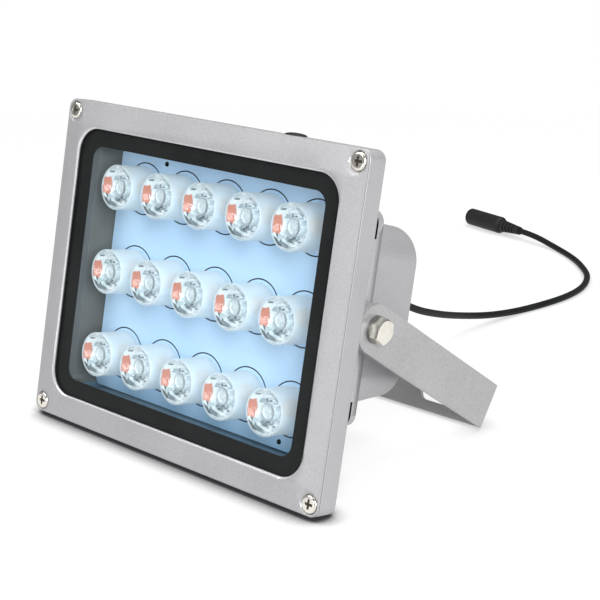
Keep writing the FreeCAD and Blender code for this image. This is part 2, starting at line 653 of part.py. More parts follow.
def build_housing():
    """Make the cast housing with flange, skirt, taper, fins, floor and bosses."""
    body = head_body("main_housing")
    pad(body, "flange", lambda s: box(s, "face_width", "face_height",
        corner="face_corner"), SEAM_REAR, "flange_depth")
    cut(body, "seat", lambda s: box(s, "(face_width - 2 * seam_deep)",
        "(face_height - 2 * seam_deep)", corner="(face_corner - seam_deep)"),
        SEAM_REAR, "frame_depth")
    cut(body, "hollow", lambda s: box(s, "(face_width - 2 * skirt_wall)",
        "(face_height - 2 * skirt_wall)", corner="(face_corner - skirt_wall)"),
        "plate_rear", "flange_depth")
    screws = four("frame_screw_x", "frame_screw_y")
    bosses = pad(body, "bosses", lambda s: discs(s, "frame_boss_radius", screws),
                 "plate_rear", "flange_depth")
    rim_wide = number("face_width / 2 - seam_deep / 2")
    rim_high = number("face_height / 2 - seam_deep / 2")
    bend = number("(face_corner - seam_deep / 2) * 0.293")
    bevelled = dress("PartDesign::Chamfer", body, "seam", bosses, "seam_bevel",
                     lambda p: near(p.z, f"-1 * {SEAM_REAR}")
                     and (abs(p.x) > rim_wide or abs(p.y) > rim_high
                          or abs(p.x) > rim_wide - bend and abs(p.y) > rim_high - bend))
    half_wide = number("face_width / 2 - skirt_wall / 2")
    half_high = number("face_height / 2 - skirt_wall / 2")
    corner = number("(face_corner - skirt_wall / 2) * 0.293")
    dress("PartDesign::Fillet", body, "edge", bevelled, "flange_round",
          lambda p: near(p.z, "-1 * flange_depth")
          and (abs(p.x) > half_wide or abs(p.y) > half_high
               or abs(p.x) > half_wide - corner and abs(p.y) > half_high - corner))
    pad(body, "barrel", lambda s: box(s, "barrel_width", "barrel_height",
        corner="barrel_corner"), "plate_rear", "barrel_depth")
    loft("PartDesign::AdditiveLoft", body, "taper", [
        ("barrel_depth", lambda s: box(s, "barrel_width", "barrel_height",
                                       corner="barrel_corner")),
        ("housing_rear", lambda s: box(s, "housing_rear_width", "housing_rear_height",
                                       corner="housing_rear_corner"))])
    build_fins(body)
    cut(body, "rebate", lambda s: box(s, "(glass_width + 2 * glass_clearance)",
        "(glass_height + 2 * glass_clearance)", corner="glass_corner"),
        "frame_depth", GLASS_SEAT)
    cut(body, "cavity", lambda s: box(s, "cavity_width", "cavity_height",
        corner="cavity_corner"), GLASS_SEAT, "cavity_floor")
    loft("PartDesign::SubtractiveLoft", body, "chamber", [
        (CHAMBER_FLOOR, lambda s: box(s, "chamber_front_width", "chamber_front_height",
                                      corner="chamber_corner")),
        ("housing_rear", lambda s: box(s, "chamber_rear_width", "chamber_rear_height",
                                       corner="chamber_corner"))])
    covers = four("cover_screw_x", "cover_screw_y")
    pad(body, "columns", lambda s: discs(s, "cover_column_radius", covers),
        CHAMBER_FLOOR, "housing_rear")
    item = sketch(body, "pivot", "YZ_Plane", ("0", "0", "pivot_boss_inner"))
    disc(item, "pivot_boss_radius", "0", "-1 * pivot_depth")
    boss = extrude("PartDesign::Pad", body, "pivot", item,
                   f"{BOSS_END} - pivot_boss_inner")
    repeat(body, "pivots", [boss], [("mirror", "YZ_Plane")])
    cut(body, "pivot_trim", lambda s: box(s, "(bracket_inner + 2)",
        "(2 * pivot_boss_radius + 2)"), "housing_rear",
        "(pivot_depth + pivot_boss_radius + 1)")
    item = sketch(body, "pivot_hole", "YZ_Plane", ("0", "0", BOSS_END))
    disc(item, "(pivot_radius + thread_clearance)", "0", "-1 * pivot_depth")
    hole = extrude("PartDesign::Pocket", body, "pivot_hole", item,
                   f"{BOSS_END} - pivot_hole_end")
    repeat(body, "pivot_holes", [hole], [("mirror", "YZ_Plane")])
    tapped = "(frame_screw_radius + thread_clearance)"
    small = "(small_screw_radius + thread_clearance)"
    cut(body, "frame_holes", lambda s: discs(s, tapped, screws),
        "frame_depth", "(flange_depth - 1)")
    cut(body, "cover_holes", lambda s: discs(s, tapped, covers),
        "(housing_rear - cover_screw_length + 4)", "housing_rear")
    cut(body, "board_holes", lambda s: discs(s, "(board_pin_radius + thread_clearance)",
        BOARD_PINS), "cavity_floor", "(cavity_floor + floor_thick - 0.6)")
    cut(body, "stud_holes", lambda s: discs(s, small, four("standoff_x", "standoff_y")),
        f"({CHAMBER_FLOOR} - standoff_stud - 0.3)", CHAMBER_FLOOR)
    cut(body, "wire_slot", lambda s: box(s, "slot_length", "slot_width", "slot_x", "slot_y",
        "(slot_width / 2 - 0.1)"), "cavity_floor", CHAMBER_FLOOR)
    item = sketch(body, "sensor", "XZ_Plane", ("0", "0", f"-1 * {HALF_HEIGHT}"))
    disc(item, "(sensor_radius + sensor_clearance)", "sensor_x", "-1 * sensor_depth")
    extrude("PartDesign::Pocket", body, "sensor", item, "sensor_hole_deep", True)
    item = sketch(body, "sensor_wire", "XZ_Plane", ("0", "0", "-1 * barrel_height / 2"))
    disc(item, "(3 * lead_radius)", "sensor_lead_x", "-1 * sensor_lead_depth")
    extrude("PartDesign::Pocket", body, "sensor_wire", item,
            "(barrel_height - cavity_height) / 2", True)


def build_fins(body):
    """Add the rows of cooling fins above and below the housing."""
    first = "(-1 * (fin_count - 1) * fin_pitch / 2 - fin_thick / 2)"
    item = sketch(body, "fin", "YZ_Plane", ("0", "0", first))
    contour(item, [
        ("(barrel_height / 2 - 2)", "-1 * plate_rear"),
        ("(barrel_height / 2 - 2)", "-1 * (barrel_depth - 1)"),
        ("(housing_rear_height / 2 - 1)", "-1 * (housing_rear - 0.6)"),
        ("(housing_rear_height / 2 + 4)", "-1 * (housing_rear - 0.6)"),
        ("fin_reach", "-1 * (barrel_depth - 4)"),
        ("fin_reach", "-1 * plate_rear")])
    fin = extrude("PartDesign::Pad", body, "fin", item, "fin_thick")
    repeat(body, "fins", [fin], [("row", "X_Axis", "fin_count", "fin_pitch"),
                                 ("mirror", "XZ_Plane")])


def build_glass():
    """Make the glass and its gasket."""
    body = head_body("front_glass")
    pad(body, "sheet", lambda s: box(s, "glass_width", "glass_height",
        corner="glass_corner"), "frame_lip", GLASS_REAR)
    body = head_body("glass_gasket")
    pad(body, "band", lambda s: box(s, "glass_width", "glass_height",
        corner="glass_corner"), GLASS_REAR, GLASS_SEAT)
    cut(body, "opening", lambda s: box(s, "(glass_width - 2 * glass_gasket_band)",
        "(glass_height - 2 * glass_gasket_band)",
        corner="(glass_corner - glass_gasket_band / 2)"), GLASS_REAR, GLASS_SEAT)


def build_screws():
    """Make the screws of the frame, the cover and the driver board."""
    both = [("mirror", "YZ_Plane"), ("mirror", "XZ_Plane")]
    body = head_body("frame_screws")
    made = screw(body, "screw", "frame_screw_x", "frame_screw_y", "sink_depth",
                 ("frame_screw_radius", "frame_head_radius", "frame_head_height"),
                 "frame_screw_length")
    repeat(body, "all", made, both)
    body = head_body("cover_screws")
    made = screw(body, "screw", "cover_screw_x", "cover_screw_y", "cover_base_rear",
                 ("frame_screw_radius", "cover_head_radius", "cover_head_height"),
                 "cover_screw_length", True)
    repeat(body, "all", made, both)
    small = ("small_screw_radius", "small_head_radius", "small_head_height")
    body = head_body("driver_screws")
    made = screw(body, "screw", "standoff_x", "standoff_y", DRIVER_REAR, small,
                 "small_screw_length", True)
    repeat(body, "all", made, both)


def build_leds():
    """Make the pad, the board and its pins, the LEDs and their lenses."""
    hole = "(board_pin_radius + 0.1)"
    body = head_body("thermal_pad")
    pad(body, "sheet", lambda s: box(s, "(board_width - 2 * pad_margin)",
        "(board_height - 2 * pad_margin)", "0", "-1 * board_drop", "board_corner"),
        BOARD_REAR, "cavity_floor")
    cut(body, "holes", lambda s: discs(s, hole, BOARD_PINS), BOARD_REAR, "cavity_floor")
    body = head_body("led_board")
    pad(body, "sheet", lambda s: box(s, "board_width", "board_height", "0",
        "-1 * board_drop", "board_corner"), BOARD_FRONT, BOARD_REAR)
    cut(body, "holes", lambda s: discs(s, hole, BOARD_PINS), BOARD_FRONT, BOARD_REAR)
    body = head_body("board_pins")
    start = f"({BOARD_FRONT} - board_pin_proud)"
    pad(body, "pins", lambda s: discs(s, "board_pin_radius", BOARD_PINS), start,
        f"({start} + board_pin_length)")
    grid = [("row", "X_Axis", "led_columns", "led_pitch_x"),
            ("row", "Y_Axis", "led_rows", "led_pitch_y")]
    first_x = "(-1 * (led_columns - 1) * led_pitch_x / 2)"
    first_y = "(-1 * (led_rows - 1) * led_pitch_y / 2 - led_drop)"
    base = f"(-1 * {BOARD_FRONT})"
    body = head_body("led_emitters")
    step = f"({base} + emitter_base)"
    top = f"({base} + emitter_base + emitter_dome)"
    led = spin(body, "led", [
        ("0", base), ("emitter_radius", base), ("emitter_radius", step),
        ("emitter_dome", step), ("emitter_dome", top, "(emitter_dome - 0.2)"), ("0", top)],
        first_x, first_y)
    repeat(body, "grid", [led], grid)
    body = head_body("lenses")
    seat = f"({base} + lens_seat_depth)"
    top = f"({base} + lens_height)"
    well = f"({base} + lens_well_floor)"
    lens = spin(body, "lens", [
        ("0", seat), ("lens_seat_radius", seat), ("lens_seat_radius", base),
        ("lens_base_radius", base), ("lens_top_radius", top), ("lens_well_radius", top),
        ("lens_well_floor_radius", well), ("0", well)], first_x, first_y)
    repeat(body, "grid", [lens], grid)


def build_driver():
    """Make the driver board, its standoffs and its larger components."""
    corners = four("standoff_x", "standoff_y")
    body = head_body("driver_board")
    pad(body, "sheet", lambda s: box(s, "driver_width", "driver_height", corner="1.5"),
        DRIVER_FRONT, DRIVER_REAR)
    cut(body, "holes", lambda s: discs(s, "(small_screw_radius + 0.2)", corners),
        DRIVER_FRONT, DRIVER_REAR)
    body = head_body("driver_standoffs")
    post = pad(body, "post", lambda s: hexagon(s, "standoff_across", "standoff_x",
               "standoff_y"), CHAMBER_FLOOR, DRIVER_FRONT)
    stud = pad(body, "stud", lambda s: disc(s, "small_screw_radius", "standoff_x",
               "standoff_y"), f"({CHAMBER_FLOOR} - standoff_stud)", CHAMBER_FLOOR)
    bore = cut(body, "bore", lambda s: disc(s, "(small_screw_radius + thread_clearance)",
               "standoff_x", "standoff_y"), f"({DRIVER_FRONT} - 6)", DRIVER_FRONT)
    repeat(body, "all", [post, stud, bore],
           [("mirror", "YZ_Plane"), ("mirror", "XZ_Plane")])
    body = head_body("driver_capacitors")
    pad(body, "cans", lambda s: discs(s, "capacitor_radius", [("-26", "12"), ("-26", "-12")]),
        DRIVER_REAR, f"({DRIVER_REAR} + capacitor_height)")
    body = head_body("driver_inductor")
    low = f"(-1 * {DRIVER_REAR})"
    high = f"(-1 * {DRIVER_REAR} - inductor_height)"
    rim = "(inductor_height * 0.2)"
    waist = "(inductor_radius * 0.8)"
    spin(body, "drum", [("0", high), ("inductor_radius", high),
                        ("inductor_radius", f"({high} + {rim})"),
                        (waist, f"({high} + {rim})"), (waist, f"({low} - {rim})"),
                        ("inductor_radius", f"({low} - {rim})"),
                        ("inductor_radius", low), ("0", low)], "-3", "-14")
    body = head_body("driver_chips")
    pad(body, "controller", lambda s: box(s, "5", "4", "8", "8"),
        DRIVER_REAR, f"({DRIVER_REAR} + 1.6)")
    pad(body, "switch", lambda s: box(s, "10", "9", "20", "-12"),
        DRIVER_REAR, f"({DRIVER_REAR} + 4.5)")
    pad(body, "diode", lambda s: box(s, "4.5", "2.6", "-8", "10"),
        DRIVER_REAR, f"({DRIVER_REAR} + 2.2)")


def build_cover():
    """Make the rear cover, a box with large round edges on a flat base, and its gasket."""
    body = head_body("rear_cover")
    pad(body, "base", lambda s: box(s, "cover_width", "cover_height",
        corner="cover_corner"), COVER_FRONT, "cover_base_rear")
    wide, high = "(box_width + 2 * box_draft)", "(box_height + 2 * box_draft)"
    shell = loft("PartDesign::AdditiveLoft", body, "box", [
        ("cover_base_rear", lambda s: box(s, wide, high, "0", "-1 * box_drop",
                                          "(box_corner + box_draft)")),
        ("box_rear", lambda s: box(s, "box_width", "box_height", "0", "-1 * box_drop",
                                   "box_corner"))])
    dress("PartDesign::Fillet", body, "rear_edge", shell, "box_edge",
          lambda p: near(p.z, "-1 * box_rear"))
    loft("PartDesign::SubtractiveLoft", body, "inside", [
        (COVER_FRONT, lambda s: box(s, f"({wide} - 2 * box_wall)", f"({high} - 2 * box_wall)",
                                    "0", "-1 * box_drop",
                                    "(box_corner + box_draft - box_wall)")),
        (BOX_INNER, lambda s: box(s, "(box_width - 2 * box_wall)",
                                  "(box_height - 2 * box_wall)", "0", "-1 * box_drop",
                                  "(box_corner - box_wall)"))])

    def slots(s):
        for sx in (1, -1):
            for sy in (1, -1):
                near_x, far_x = f"{sx} * cover_slot_inner", f"{sx} * (cover_width / 2 + 1)"
                low, high = f"{sy} * cover_slot_low", f"{sy} * cover_slot_high"
                contour(s, [(near_x, low), (far_x, low), (far_x, high), (near_x, high)])

    cut(body, "slots", slots, COVER_FRONT, "cover_slot_rear")
    places = four("cover_screw_x", "cover_screw_y")
    cut(body, "holes", lambda s: discs(s, "(frame_screw_radius + 0.25)", places),
        COVER_FRONT, "cover_base_rear")
    cut(body, "gland_hole", lambda s: disc(s, "(gland_thread_radius + thread_clearance)"),
        BOX_INNER, "box_rear")
    body = head_body("cover_gasket")
    pad(body, "band", lambda s: box(s, "(cover_width - 2 * cover_gasket_margin)",
        "(cover_height - 2 * cover_gasket_margin)", corner="cover_corner"),
        "housing_rear", COVER_FRONT)
    edge = "cover_gasket_margin - 2 * cover_gasket_band"
    cut(body, "opening", lambda s: box(s, f"(cover_width - 2 * {edge})",
        f"(cover_height - 2 * {edge})", corner="box_corner"), "housing_rear", COVER_FRONT)
    cut(body, "holes", lambda s: discs(s, "(frame_screw_radius + 0.4)", places),
        "housing_rear", COVER_FRONT)


def build_gland():
    """Make the cable gland and the length of cord that turns with the head."""
    body = head_body("gland_body")
    hex_rear = "(box_rear + gland_hex_height)"
    pad(body, "hex", lambda s: hexagon(s, "gland_hex"), "box_rear", hex_rear)
    pad(body, "thread", lambda s: disc(s, "gland_thread_radius"),
        "(box_rear - gland_thread_length)", "box_rear")
    pad(body, "neck", lambda s: disc(s, "gland_neck_radius"), hex_rear,
        f"({hex_rear} + gland_neck_length)")
    cut(body, "bore", lambda s: disc(s, "gland_bore"), "(box_rear - gland_thread_length)",
        f"({hex_rear} + gland_neck_length)")
    body = head_body("gland_nut")
    shoulder = f"({GLAND_NUT} + gland_nut_length)"
    pad(body, "hex", lambda s: hexagon(s, "gland_hex"), GLAND_NUT, shoulder)
    spin(body, "dome", [("0", f"-1 * {shoulder}"), ("0", f"-1 * {GLAND_END}"),
                        ("(gland_hex * 0.47)", f"-1 * {GLAND_END}", "(gland_dome * 0.6)"),
                        ("(gland_hex * 0.47)", f"-1 * {shoulder}")])
    seal_front = f"({hex_rear} + gland_neck_length)"
    seal_rear = f"({hex_rear} + gland_neck_length + gland_seal_length)"
    cut(body, "inside", lambda s: disc(s, "(gland_neck_radius + thread_clearance)"),
        GLAND_NUT, seal_rear)
    cut(body, "bore", lambda s: disc(s, "gland_bore"), seal_rear, GLAND_END)
    body = head_body("gland_seal")
    pad(body, "ring", lambda s: disc(s, "(gland_neck_radius - 0.1)"), seal_front, seal_rear)
    cut(body, "bore", lambda s: disc(s, "(cord_radius + cord_fit)"), seal_front, seal_rear)
    body = head_body("gland_locknut")
    front = f"({BOX_INNER} - locknut_height)"
    pad(body, "hex", lambda s: hexagon(s, "(gland_hex + 1)"), front, BOX_INNER)
    cut(body, "bore", lambda s: disc(s, "(gland_thread_radius + thread_clearance)"),
        front, BOX_INNER)
    body = head_body("cord_tail")
    pad(body, "cord", lambda s: disc(s, "cord_radius"), "cord_inner_end",
        "(pivot_depth + cord_tail_reach - cord_split)")


def build_sensor():
    """Make the cap and the cell of the light sensor in the top edge."""
    body = head_body("light_sensor_cell")
    item = sketch(body, "cell", "XZ_Plane", ("0", "0", f"-1 * {HALF_HEIGHT}"))
    disc(item, "sensor_radius", "sensor_x", "-1 * sensor_depth")
    extrude("PartDesign::Pad", body, "cell", item, "(sensor_hole_deep - 0.2)")
    body = head_body("light_sensor_cap")
    item = sketch(body, "cap", "XY_Plane", ("sensor_x", HALF_HEIGHT, "-1 * sensor_depth"))
    contour(item, [("0", "0"), ("sensor_cap_radius", "0"),
                   ("sensor_cap_radius", "(sensor_cap_height * 0.2)"),
                   ("(sensor_cap_radius * 0.82)", "(sensor_cap_height * 0.66)"),
                   ("(sensor_cap_radius * 0.55)", "(sensor_cap_height * 0.91)"),
                   ("(sensor_cap_radius * 0.25)", "sensor_cap_height"),
                   ("0", "sensor_cap_height")])
    cap = body.newObject("PartDesign::Revolution", "light_sensor_cap_dome")
    cap.Profile = item
    cap.ReferenceAxis = (item, ["V_Axis"])
    cap.Angle = 360
    item.Visibility = False


def build_pivots():
    """Make the pivot bolts and their spring washers."""
    body = head_body("pivot_bolts")
    item = sketch(body, "hex", "YZ_Plane", ("0", "0", HEAD_SEAT))
    hexagon(item, "pivot_head_across", "0", "-1 * pivot_depth")
    head = extrude("PartDesign::Pad", body, "hex", item, "pivot_head_height")
    item = sketch(body, "shank", "YZ_Plane", ("0", "0", "pivot_shank_end"))
    disc(item, "pivot_radius", "0", "-1 * pivot_depth")
    shank = extrude("PartDesign::Pad", body, "shank", item, f"{HEAD_SEAT} - pivot_shank_end")
    top = f"({HEAD_SEAT} + pivot_head_height)"
    corner = "(pivot_head_across / sqrt(3) + 0.5)"
    round_off = spin_wide(body, "round_off", [
        (top, "(pivot_head_across * 0.475)"), (f"({top} + 1)", "(pivot_head_across * 0.475)"),
        (f"({top} + 1)", corner), (f"({top} - ({corner} - pivot_head_across * 0.475)"
                                   " * tan(30))", corner)],
        "pivot_depth", "PartDesign::Groove")
    repeat(body, "both", [head, shank, round_off], [("mirror", "YZ_Plane")])
    body = head_body("spring_washers")
    item = sketch(body, "ring", "YZ_Plane", ("0", "0", WASHER_SEAT))
    disc(item, "washer_radius", "0", "-1 * pivot_depth")
    disc(item, "(pivot_radius + 0.1)", "0", "-1 * pivot_depth")
    ring = extrude("PartDesign::Pad", body, "ring", item, "washer_thick")
    item = sketch(body, "split", "YZ_Plane", ("0", "0", f"{WASHER_SEAT} - 0.5"))
    reach = "(washer_radius + 1)"
    slant = "(-0.7 * washer_split)"
    contour(item, [("-1 * washer_split / 2", f"-1 * pivot_depth - {reach}"),
                   ("washer_split / 2", f"-1 * pivot_depth - {reach}"),
                   (f"washer_split / 2 + {slant}", "-1 * pivot_depth - 1"),
                   (f"-1 * washer_split / 2 + {slant}", "-1 * pivot_depth - 1")])
    split = extrude("PartDesign::Pocket", body, "split", item, "washer_thick + 1", True)
    repeat(body, "both", [ring, split], [("mirror", "YZ_Plane")])


def build_bracket():
    """Make the bracket, a strip bent into a U with round ends."""
    body = new_body("bracket", ("0", PIVOT_Y, PIVOT_HEIGHT), WIDE, f"-1 * {DROP}")
    item = sketch(body, "side", "YZ_Plane", ("0", "0", "-1 * bracket_inner / 2 - strip_thick"))
    end = "(strip_width / 2)"
    contour(item, [(f"-1 * {end}", f"-1 * {end}", "(strip_width / 2 - 0.02)"),
                   ("bracket_reach", f"-1 * {end}"), ("bracket_reach", end),
                   (f"-1 * {end}", end, "(strip_width / 2 - 0.02)")])
    side = extrude("PartDesign::Pad", body, "side", item, "bracket_inner + 2 * strip_thick")
    outer = number("bracket_inner / 2 + strip_thick")
    dress("PartDesign::Fillet", body, "bends", side, "(bracket_bend + strip_thick)",
          lambda p: near(p.y, "bracket_reach") and abs(abs(p.x) - outer) < 1e-3)
    item = sketch(body, "inside", "XY_Plane", ("0", "0", "strip_width / 2 + 1"))
    half = "(bracket_inner / 2)"
    inner = "(bracket_reach - strip_thick)"
    contour(item, [(f"-1 * {half}", "-1 * strip_width"), (half, "-1 * strip_width"),
                   (half, inner, "bracket_bend"), (f"-1 * {half}", inner, "bracket_bend")])
    extrude("PartDesign::Pocket", body, "inside", item, "strip_width + 2")
    item = sketch(body, "pivots", "YZ_Plane", ("0", "0", "bracket_inner / 2 + strip_thick + 1"))
    disc(item, "(pivot_radius + running_clearance)")
    extrude("PartDesign::Pocket", body, "pivots", item, "bracket_inner + 2 * strip_thick + 2")
    item = sketch(body, "slots", "XZ_Plane", ("0", "0", f"-1 * {inner}"))
    middle = "(bracket_slot_near + bracket_slot_far) / 2"
    for sign in (1, -1):
        box(item, "(bracket_slot_far - bracket_slot_near)", "bracket_slot_width",
            f"{sign} * {middle}", "0", "(bracket_slot_width / 2 - 0.02)")
    disc(item, "bracket_hole_radius")
    extrude("PartDesign::Pocket", body, "slots", item, "strip_thick")


def build_leads():
    """Make the insulated leads inside the head."""
    place = Placement(Vector(0, number(HEAD_Y), number(HEAD_Z)),
                      Rotation(WIDE, number("90 - lean")))
    radius = number("lead_radius")
    slot_x, slot_y = number("slot_x"), number("slot_y")
    board = -number(BOARD_FRONT) + 0.05
    driver = -number(DRIVER_REAR) - 0.05
    floor = -number(CHAMBER_FLOOR)
    paths = []
    for shift in (-4.4, -2.2):
        x = slot_x + shift
        paths.append([(x, slot_y - 2.4, board), (x, slot_y - 2.4, board + 2.4),
                      (x, slot_y, board + 2.4), (x, slot_y, floor - 1.9),
                      (x - 3, slot_y - 27, driver - 8.7), (x - 4, 18, driver - 8.7),
                      (x - 4, 18, driver)])
    tubes("led_leads", paths, radius, place)
    x = number("sensor_lead_x")
    down = -number("sensor_lead_depth")
    high = number("face_height / 2 - skirt_wall") - 0.6
    tubes("sensor_lead", [[(x, high, down), (x, slot_y + 1, down), (x, slot_y + 0.4, -18),
                           (x, slot_y, floor + 2), (x, slot_y, floor - 1.9),
                           (x - 2, slot_y - 27, driver - 8.7), (x - 4, 10, driver - 8.7),
                           (x - 4, 10, driver)]], radius, place)
    inner_end = -number("cord_inner_end")
    paths = []
    for side in (1, -1):
        paths.append([(0.8 * side, 0, inner_end + 0.05), (0.8 * side, 0, inner_end + 9),
                      (-38, 4 * side, driver - 10), (-38, 4 * side, driver)])
    tubes("supply_leads", paths, radius, place)


def build_cord():
    """Make the cord from the head to the connector, lying on the ground."""
    low = number("cord_radius + cord_lift")
    lean = math.radians(number("lean"))
    heading = math.radians(number("connector_heading"))
    pivot = Vector(0, number(PIVOT_Y), number(PIVOT_HEIGHT))
    away = Vector(0, math.cos(lean), -math.sin(lean))
    end = Vector(number("connector_x"), number("connector_y"), number(CONNECTOR_AXIS))
    forward = Vector(math.cos(heading), math.sin(heading), 0)
    start = pivot + away * number("cord_tail_reach")
    points = [start, start + away * 15.4, Vector(-1.5, 103, 30.5), Vector(-6, 132, 19.7),
              Vector(-12.9, 164, 10), Vector(-13.2, 188.8, 4.5), Vector(-11.5, 211, low),
              Vector(-7.8, 231.3, low), Vector(-5.9, 255.2, low), Vector(-8.9, 277.7, low),
              Vector(-17.6, 297.5, low), Vector(-27.9, 311.5, low),
              Vector(-49.1, 331.5, low), Vector(-74.2, 347.2, low), end - forward * 13, end]
    for point in points:
        print(f"cord point {point.x:.2f} {point.y:.2f} {point.z:.2f}")
    print("cord bends", [round(r, 1) for r in route(points)[1]])
    item = doc.addObject("Part::Feature", "power_cord")
    item.Label = "power_cord"
    item.Shape = tube(points, number("cord_radius"))
    item.Placement = Placement()
    nodes.append(item)


def build_connector():
    """Make the socket at the end of the cord, with its strain relief."""
    def part(name):
        return new_body(name, ("connector_x", "connector_y", CONNECTOR_AXIS), TALL,
                        "connector_heading")

    body = part("connector_relief")
    slope = "(relief_end_radius - relief_start_radius)"
    corners = [("0", "0"), ("relief_length", "0"), ("relief_length", "relief_end_radius")]
    for ring in (4, 3, 2, 1):
        at = f"relief_length * {0.14 + 0.16 * ring:.2f}"
        wall = f"(relief_start_radius + {slope} * {0.14 + 0.16 * ring:.2f})"
        corners += [(f"{at} + 0.6", wall), (f"{at} + 0.6", f"{wall} - 0.7"),
                    (f"{at} - 0.6", f"{wall} - 0.7"), (f"{at} - 0.6", f"{wall} - 0.1")]
    corners.append(("0", "relief_start_radius"))
    spin_wide(body, "cone", corners)
    body = part("connector_body")
    end = "(relief_length + connector_length)"
    spin_wide(body, "barrel", [
        ("relief_length", "0"), (f"{end} - socket_deep", "0"),
        (f"{end} - socket_deep", "socket_radius"), (end, "socket_radius"),
        (end, "connector_radius", "0.6"), ("(relief_length + 2)", "connector_radius"),
        ("relief_length", "(connector_radius - 1)")])
    body = part("connector_sleeve")
    base = f"({end} - socket_deep)"
    outer = "(socket_radius - 0.05)"
    spin_wide(body, "sleeve", [
        (base, f"{outer} - sleeve_wall"), (f"{base} + sleeve_length", f"{outer} - sleeve_wall"),
        (f"{base} + sleeve_length", outer), (base, outer)])
    body = part("connector_pin")
    spin_wide(body, "pin", [(base, "0"), (f"{base} + pin_length", "0"),
                            (f"{base} + pin_length", "pin_radius", "0.6"),
                            (base, "pin_radius")])


build_frame()
build_glass()
build_housing()
build_screws()
build_leds()
build_driver()
build_sensor()
build_cover()
build_gland()
build_pivots()
build_bracket()
build_leads()
build_cord()
build_connector()
doc.recompute()

os.makedirs("parts", exist_ok=True)
faults = []
for thing in doc.Objects:
    if "Invalid" in thing.State or "Error" in thing.State:
        faults.append(f"{thing.Name}: {thing.State}")
for node in nodes:
    if node.Shape.isNull() or not node.Shape.isValid() or not node.Shape.Solids:
        faults.append(f"{node.Label}: no valid solid")
if faults:
    raise RuntimeError("; ".join(faults))
for node in nodes:
    node.Shape.exportStep(f"parts/{node.Label}.step")
    room = node.Shape.BoundBox
    print(f"{node.Label}: {len(node.Shape.Solids)} solids, {node.Shape.Volume:.0f} mm3, "
          f"x {room.XMin:.1f} to {room.XMax:.1f}, y {room.YMin:.1f} to {room.YMax:.1f}, "
          f"z {room.ZMin:.2f} to {room.ZMax:.1f}")
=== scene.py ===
import logging
import math
import random
from dataclasses import dataclass
from enum import Enum
from typing import Any, Callable, Sequence

import bmesh
import bpy
from mathutils import Matrix, Vector


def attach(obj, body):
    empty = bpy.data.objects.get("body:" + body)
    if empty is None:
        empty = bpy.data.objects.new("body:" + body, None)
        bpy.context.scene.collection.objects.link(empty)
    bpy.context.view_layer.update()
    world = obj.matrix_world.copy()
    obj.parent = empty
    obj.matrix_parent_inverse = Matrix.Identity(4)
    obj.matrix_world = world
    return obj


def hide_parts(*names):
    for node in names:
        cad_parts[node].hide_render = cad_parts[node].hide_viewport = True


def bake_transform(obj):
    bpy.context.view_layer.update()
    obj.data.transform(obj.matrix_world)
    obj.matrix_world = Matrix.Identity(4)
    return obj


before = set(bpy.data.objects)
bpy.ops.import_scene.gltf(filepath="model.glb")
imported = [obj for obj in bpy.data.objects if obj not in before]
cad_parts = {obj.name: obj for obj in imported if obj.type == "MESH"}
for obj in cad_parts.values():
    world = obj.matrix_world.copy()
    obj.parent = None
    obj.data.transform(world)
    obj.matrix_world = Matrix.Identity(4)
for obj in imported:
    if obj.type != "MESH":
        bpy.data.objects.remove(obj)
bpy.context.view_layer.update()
LOG = logging.getLogger("floodlight")
MM = 0.001

Colour = tuple[float, float, float]
Place = tuple[float, float, float]
Profile = Sequence[tuple[float, float]]
Outline = Sequence[Vector]


class Part(Enum):
    """The two bodies that the tilt joint connects."""

    HEAD = "head"
    BRACKET = "bracket"


def put(name: str, data: bpy.types.ID) -> bpy.types.Object:
    """Make an object and put it in the scene.

    Args:
        name: The object's name.
        data: Its mesh, curve, lamp or camera.

    Returns:
        The new object.
    """
    thing = bpy.data.objects.new(name, data)
    bpy.context.scene.collection.objects.link(thing)
    return thing


def scaled(colour: Colour, share: float) -> Colour:
    """Give a colour times a number, up to white.

    Args:
        colour: The colour.
        share: The number.

    Returns:
        The darker or lighter colour.
    """
    return tuple(min(1.0, c * share) for c in colour)


# ---- shader writing


class Value:
    """A shader socket that takes part in Python expressions."""

    def __init__(self, tree: "Shader", socket: bpy.types.NodeSocket) -> None:
        """Wrap a socket.

        Args:
            tree: The shader that owns the socket.
            socket: The output socket.
        """
        self.tree = tree
        self.socket = socket

    def _math(self, operation: str, first: Any, second: Any = 0.0, clamp: bool = False) -> "Value":
        """Add one Math node.

        Args:
            operation: The node's operation.
            first: The first operand.
            second: The second operand.
            clamp: Whether the result is held between 0 and 1.

        Returns:
            The node's result.
        """
        return self.tree.read("ShaderNodeMath", 0, {"operation": operation, "use_clamp": clamp},
                              {0: first, 1: second})

    def __add__(self, other: Any) -> "Value":
        """Add."""
        return self._math("ADD", self, other)

    def __sub__(self, other: Any) -> "Value":
        """Subtract."""
        return self._math("SUBTRACT", self, other)

    def __rsub__(self, other: Any) -> "Value":
        """Subtract from a number."""
        return self._math("SUBTRACT", other, self)

    def __mul__(self, other: Any) -> "Value":
        """Multiply."""
        return self._math("MULTIPLY", self, other)

    def __truediv__(self, other: Any) -> "Value":
        """Divide."""
        return self._math("DIVIDE", self, other)

    def size(self) -> "Value":
        """Give the distance from zero."""
        return self._math("ABSOLUTE", self)

    def power(self, exponent: float) -> "Value":
        """Raise to a power."""
        return self._math("POWER", self, exponent)

    def most(self, other: Any) -> "Value":
        """Give the greater of two values."""
        return self._math("MAXIMUM", self, other)

    def above(self, edge: float, soft: float) -> "Value":
        """Give 1 where the value is over an edge, with a soft step.

        Args:
            edge: Where the step is.
            soft: The width of the step.

        Returns:
            A mask from 0 to 1.
        """
        return self._math("ADD", (self - edge) / soft, 0.5, True)


